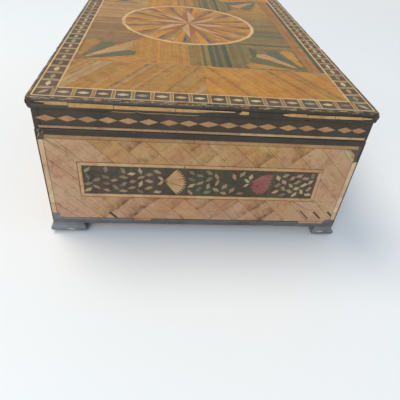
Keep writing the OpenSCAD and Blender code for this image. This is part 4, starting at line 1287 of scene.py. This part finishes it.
def worn_edge(side):
    """One mitred length of the rounded lid edge, with the small hollows of a hand-worked and knocked moulding."""
    rng = random.Random(150 + side)
    name = SIDE_NAMES[side]
    half = side_half(side) + OVERHANG
    run = side_width(side) / 2 + OVERHANG - 0.03
    profile = edge_profile()
    columns = [edge_places(run, inward) for inward, z in profile]
    waves = [(rng.uniform(0.02, 0.5), rng.uniform(0, 6.3), rng.uniform(0.3, 1)) for _ in range(9)]
    chips = [(rng.uniform(-run, run), rng.choice((0, 1)), rng.uniform(1.2, 4.5), rng.uniform(0.1, 0.4)) for _ in range(26)]
    bm = bmesh.new()
    rings, bare = [], []
    turn = Matrix.Rotation(math.radians(-90 * side), 3, "Z")
    for i in range(len(columns[0])):
        ring = []
        for k, (inward, z) in enumerate(profile):
            x, back = columns[k][i]
            outer = inward < OVERHANG + 0.1
            drop = sum(w * math.sin(x * f * 2.4 + p + k * 0.7) for f, p, w in waves) / 9
            hollow = 0.09 * (drop + 0.6) if outer else 0.0
            low_part = z < Z_EDGE + EDGE_ROUND * 1.2
            high_part = z > Z_TOP - EDGE_ROUND * 1.2
            for at, upper, width, deep in chips:
                if abs(x - at) < width and ((upper and high_part) or (not upper and low_part)) and outer:
                    hollow += deep * (1 - abs(x - at) / width)
            hollow = max(0.0, hollow)
            middle_z = (Z_EDGE + Z_TOP) / 2
            place = Vector((x, -half + back + hollow, z + (middle_z - z) / 6 * hollow))
            ring.append(bm.verts.new(turn @ (place * MM)))
            arris = outer and (0.3 < inward < 2.1) and (low_part or high_part)
            line = side == RIGHT and WORN_RUN[0] < x < WORN_RUN[1] and low_part and 0.25 < inward < 1.2
            bare.append(1.6 if line else ((0.9 if high_part else 0.6) if arris else 0.0))
        rings.append(ring)
    for a, b in zip(rings, rings[1:]):
        for k in range(len(profile)):
            j = (k + 1) % len(profile)
            bm.faces.new((a[k], b[k], b[j], a[j]))
    bm.faces.new(rings[0])
    bm.faces.new(tuple(reversed(rings[-1])))
    bmesh.ops.recalc_face_normals(bm, faces=bm.faces)
    for face in bm.faces:
        face.smooth = len(face.verts) == 4
    mesh = bpy.data.meshes.new(f"lid_edge_worn_{name}")
    bm.to_mesh(mesh)
    bm.free()
    mesh.attributes.new("worn", "FLOAT", "POINT").data.foreach_set("value", bare)
    mesh.materials.append(STAINED)
    piece = bpy.data.objects.new(mesh.name, mesh)
    bpy.context.scene.collection.objects.link(piece)
    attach(piece, "lid")
    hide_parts(f"lid_edge_{name}")


# Wooden and metal nodes, with their sharp edges broken


def rounded(node, width, material, segments=2):
    """A copy of a CAD node with its edges broken, in the node's place."""
    source = nodes[node]
    bm = bmesh.new()
    bm.from_mesh(source.data)
    bmesh.ops.remove_doubles(bm, verts=bm.verts, dist=1e-6)
    bmesh.ops.dissolve_limit(bm, angle_limit=math.radians(1), verts=bm.verts, edges=bm.edges)
    sharp = [e for e in bm.edges if len(e.link_faces) == 2 and e.calc_face_angle() > math.radians(35)]
    if sharp:
        bmesh.ops.bevel(
            bm, geom=sharp, offset=width * MM, segments=segments, profile=0.5, affect="EDGES", clamp_overlap=True
        )
    bmesh.ops.recalc_face_normals(bm, faces=bm.faces)
    mesh = bpy.data.meshes.new(f"{node}_finished")
    bm.to_mesh(mesh)
    bm.free()
    mesh.shade_smooth()
    mesh.set_sharp_from_angle(angle=math.radians(28))
    mesh.materials.append(material)
    piece = bpy.data.objects.new(mesh.name, mesh)
    bpy.context.scene.collection.objects.link(piece)
    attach(piece, source["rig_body"])
    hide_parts(node)
    return piece


def paint(node, material):
    """Gives a CAD node that keeps its shape its own finish."""
    source = nodes[node]
    for place in source.material_slots:
        place.material = material


def carcass():
    for name in ("front", "back"):
        rounded(f"{name}_board", 0.3, PINE_ALONG)
        rounded(f"lid_rail_{name}", 0.35, PAINTED)
    for name in ("left", "right"):
        rounded(f"{name}_end_board", 0.3, PINE_ACROSS)
        rounded(f"lid_rail_{name}", 0.35, PAINTED)
    # The feet and the bottom board take the light bluish grey of a painted sheen.
    for place in ("front_left", "front_right", "back_left", "back_right"):
        rounded(f"foot_{place}", 0.5, FOOT_SHEEN_WOOD, 3)
    rounded("bottom_board", 0.5, BASE_SHEEN_WOOD)
    paint("rim_bands", STAINED)
    paint("corner_lines", STAINED)
    paint("lid_board", PINE_ALONG)
    for node in ("wall_lining", "floor_lining", "lid_lining"):
        paint(node, PAPER)
    for node in ("bottom_nails", "left_hinge_pin", "right_hinge_pin"):
        paint(node, IRON)
    for place in ("left", "right"):
        rounded(f"{place}_hinge_body_leaf", 0.12, BRASS)
        rounded(f"{place}_hinge_lid_leaf", 0.12, BRASS)
    for node in ("body_screws", "lid_screws"):
        paint(node, BRASS)


FOOT_GEMS = ((-88.6, 3.7, 7.6), (90.9, 4.7, 5.6))


def foot_gems():
    """A small pale lozenge on the outer face of each foot."""
    work = StrawWork("foot_gems", 161)
    for side, face in enumerate(WALLS):
        half = side_width(side) / 2
        places = FOOT_GEMS if side == RIGHT else ((8.5 - half, 3.8, 5.6), (half - 8.5, 3.8, 5.6))
        proud = FRONT_FOOT_PROUD if side == FRONT else FOOT_PROUD
        for u, v, length in places:
            outline = lozenge(length, 2.0, (u, v), work.rng.uniform(-6, 6), 0.1)
            work.piece(face, outline, vary(FOOT_GEM, work.rng, 0.1), 0, proud + 0.01, 0.4, 0.0, 0.4)
    work.build("box", LINE, "light_straw")


# Stage


CAMERA_AT = Vector((-26.81, -362.42, 197.16)) * MM
CAMERA_RIGHT = Vector((0.99465, -0.06331, 0.08159))
CAMERA_UP = Vector((-0.02283, 0.63568, 0.77161))
FOCAL_PX = 387.35
FRAME_PX = 400
SENSOR_MM = 36.0


def set_camera():
    data = bpy.data.cameras.new("photo_camera")
    data.sensor_width = SENSOR_MM
    data.lens = FOCAL_PX / FRAME_PX * SENSOR_MM
    data.clip_start = 0.01
    camera = bpy.data.objects.new("photo_camera", data)
    bpy.context.scene.collection.objects.link(camera)
    right = CAMERA_RIGHT.normalized()
    back = right.cross(CAMERA_UP).normalized()
    turn = Matrix((right, back.cross(right), back)).transposed()
    camera.matrix_world = Matrix.Translation(CAMERA_AT) @ turn.to_4x4()
    bpy.context.scene.camera = camera


BACKDROP = srgb(230, 231, 231)
TABLE_RUN = (420.0, 1100.0)


def background_rays(tree):
    """1 for the rays that see the background: the camera's own, and those in metal and glass."""
    rays = tree.nodes.new("ShaderNodeLightPath")
    seen = rays.outputs["Is Camera Ray"]
    for name in ("Is Glossy Ray", "Is Transmission Ray"):
        either = tree.nodes.new("ShaderNodeMath")
        either.operation = "MAXIMUM"
        tree.links.new(seen, either.inputs[0])
        tree.links.new(rays.outputs[name], either.inputs[1])
        seen = either.outputs[0]
    return seen


def set_floor():
    """A pale table that turns into the backdrop far from the box."""
    mesh = bpy.data.meshes.new("floor")
    half = 3.0
    mesh.from_pydata([(-half, -half, 0), (half, -half, 0), (half, half, 0), (-half, half, 0)], [], [(0, 1, 2, 3)])
    s = Shader("pale_table")
    place = s.place()
    cloud = s.noise(place, scale=0.004, detail=2)
    colour = s.mix(s.spread(cloud, 0.35, 0.65), srgb(231, 231, 230), srgb(234, 232, 230))
    mesh.materials.append(s.finish(colour, 0.55, Specular_IOR_Level=0.3))
    away = s.node("ShaderNodeVectorMath", operation="LENGTH")
    s.feed(away.inputs[0], place)
    far = s.spread(away.outputs["Value"], *TABLE_RUN)
    s.fade_to(BACKDROP, s.math("MULTIPLY", far, background_rays(s.tree)))
    floor = bpy.data.objects.new("floor", mesh)
    bpy.context.scene.collection.objects.link(floor)


def area_light(name, at, aim, size, power, colour):
    data = bpy.data.lights.new(name, "AREA")
    data.shape = "DISK"
    data.size = size
    data.energy = power
    data.color = colour
    lamp = bpy.data.objects.new(name, data)
    bpy.context.scene.collection.objects.link(lamp)
    lamp.location = at
    lamp.rotation_euler = (Vector(aim) - Vector(at)).to_track_quat("-Z", "Y").to_euler()


ROOM_BLUE = (0.58, 0.78, 1.0)
ROOM_STRENGTH = 0.62


def set_light():
    """A large soft lamp above and behind the box, a weaker one in front, and a pale blue room."""
    world = bpy.data.worlds.new("room")
    world.use_nodes = True
    tree = world.node_tree
    choice = tree.nodes.new("ShaderNodeMix")
    choice.data_type = "RGBA"
    tree.links.new(background_rays(tree), choice.inputs[0])
    choice.inputs[6].default_value = tuple(ROOM_STRENGTH * c for c in ROOM_BLUE) + (1,)
    choice.inputs[7].default_value = (*BACKDROP, 1)
    tree.links.new(choice.outputs[2], tree.nodes["Background"].inputs["Color"])
    bpy.context.scene.world = world
    area_light("window", (-1.08, 0.54, 2.52), (0, 0, 0.05), 1.6, 44, (1.0, 0.89, 0.73))
    area_light("fill", (-0.9, -2.34, 1.44), (0, -0.1, 0.05), 2.1, 42, (1.0, 0.98, 0.95))
    bpy.context.scene.view_settings.view_transform = "Standard"


# Everything, in the order that the random draws are made

set_camera()
set_floor()
set_light()
carcass()
for wall in range(4):
    wall_straw(wall)
    lines = wall_lines(wall)
    parts = ("rim_lines", "base_lines", "corner_stringing", "panel_frames") if wall == RIGHT else ()
    lines.build("box", LINE, "light_straw", *parts)
    flower_panel(wall)
    ground = panel_ground(wall)
    ground.build("box", DARK_STRAW, "dark_straw", *(("panel_grounds",) if wall == RIGHT else ()))
lid_border()
lid_lines()
lid_bands()
middle_field()
frieze()
edge_stripe()
for wall in range(4):
    worn_edge(wall)
foot_gems()
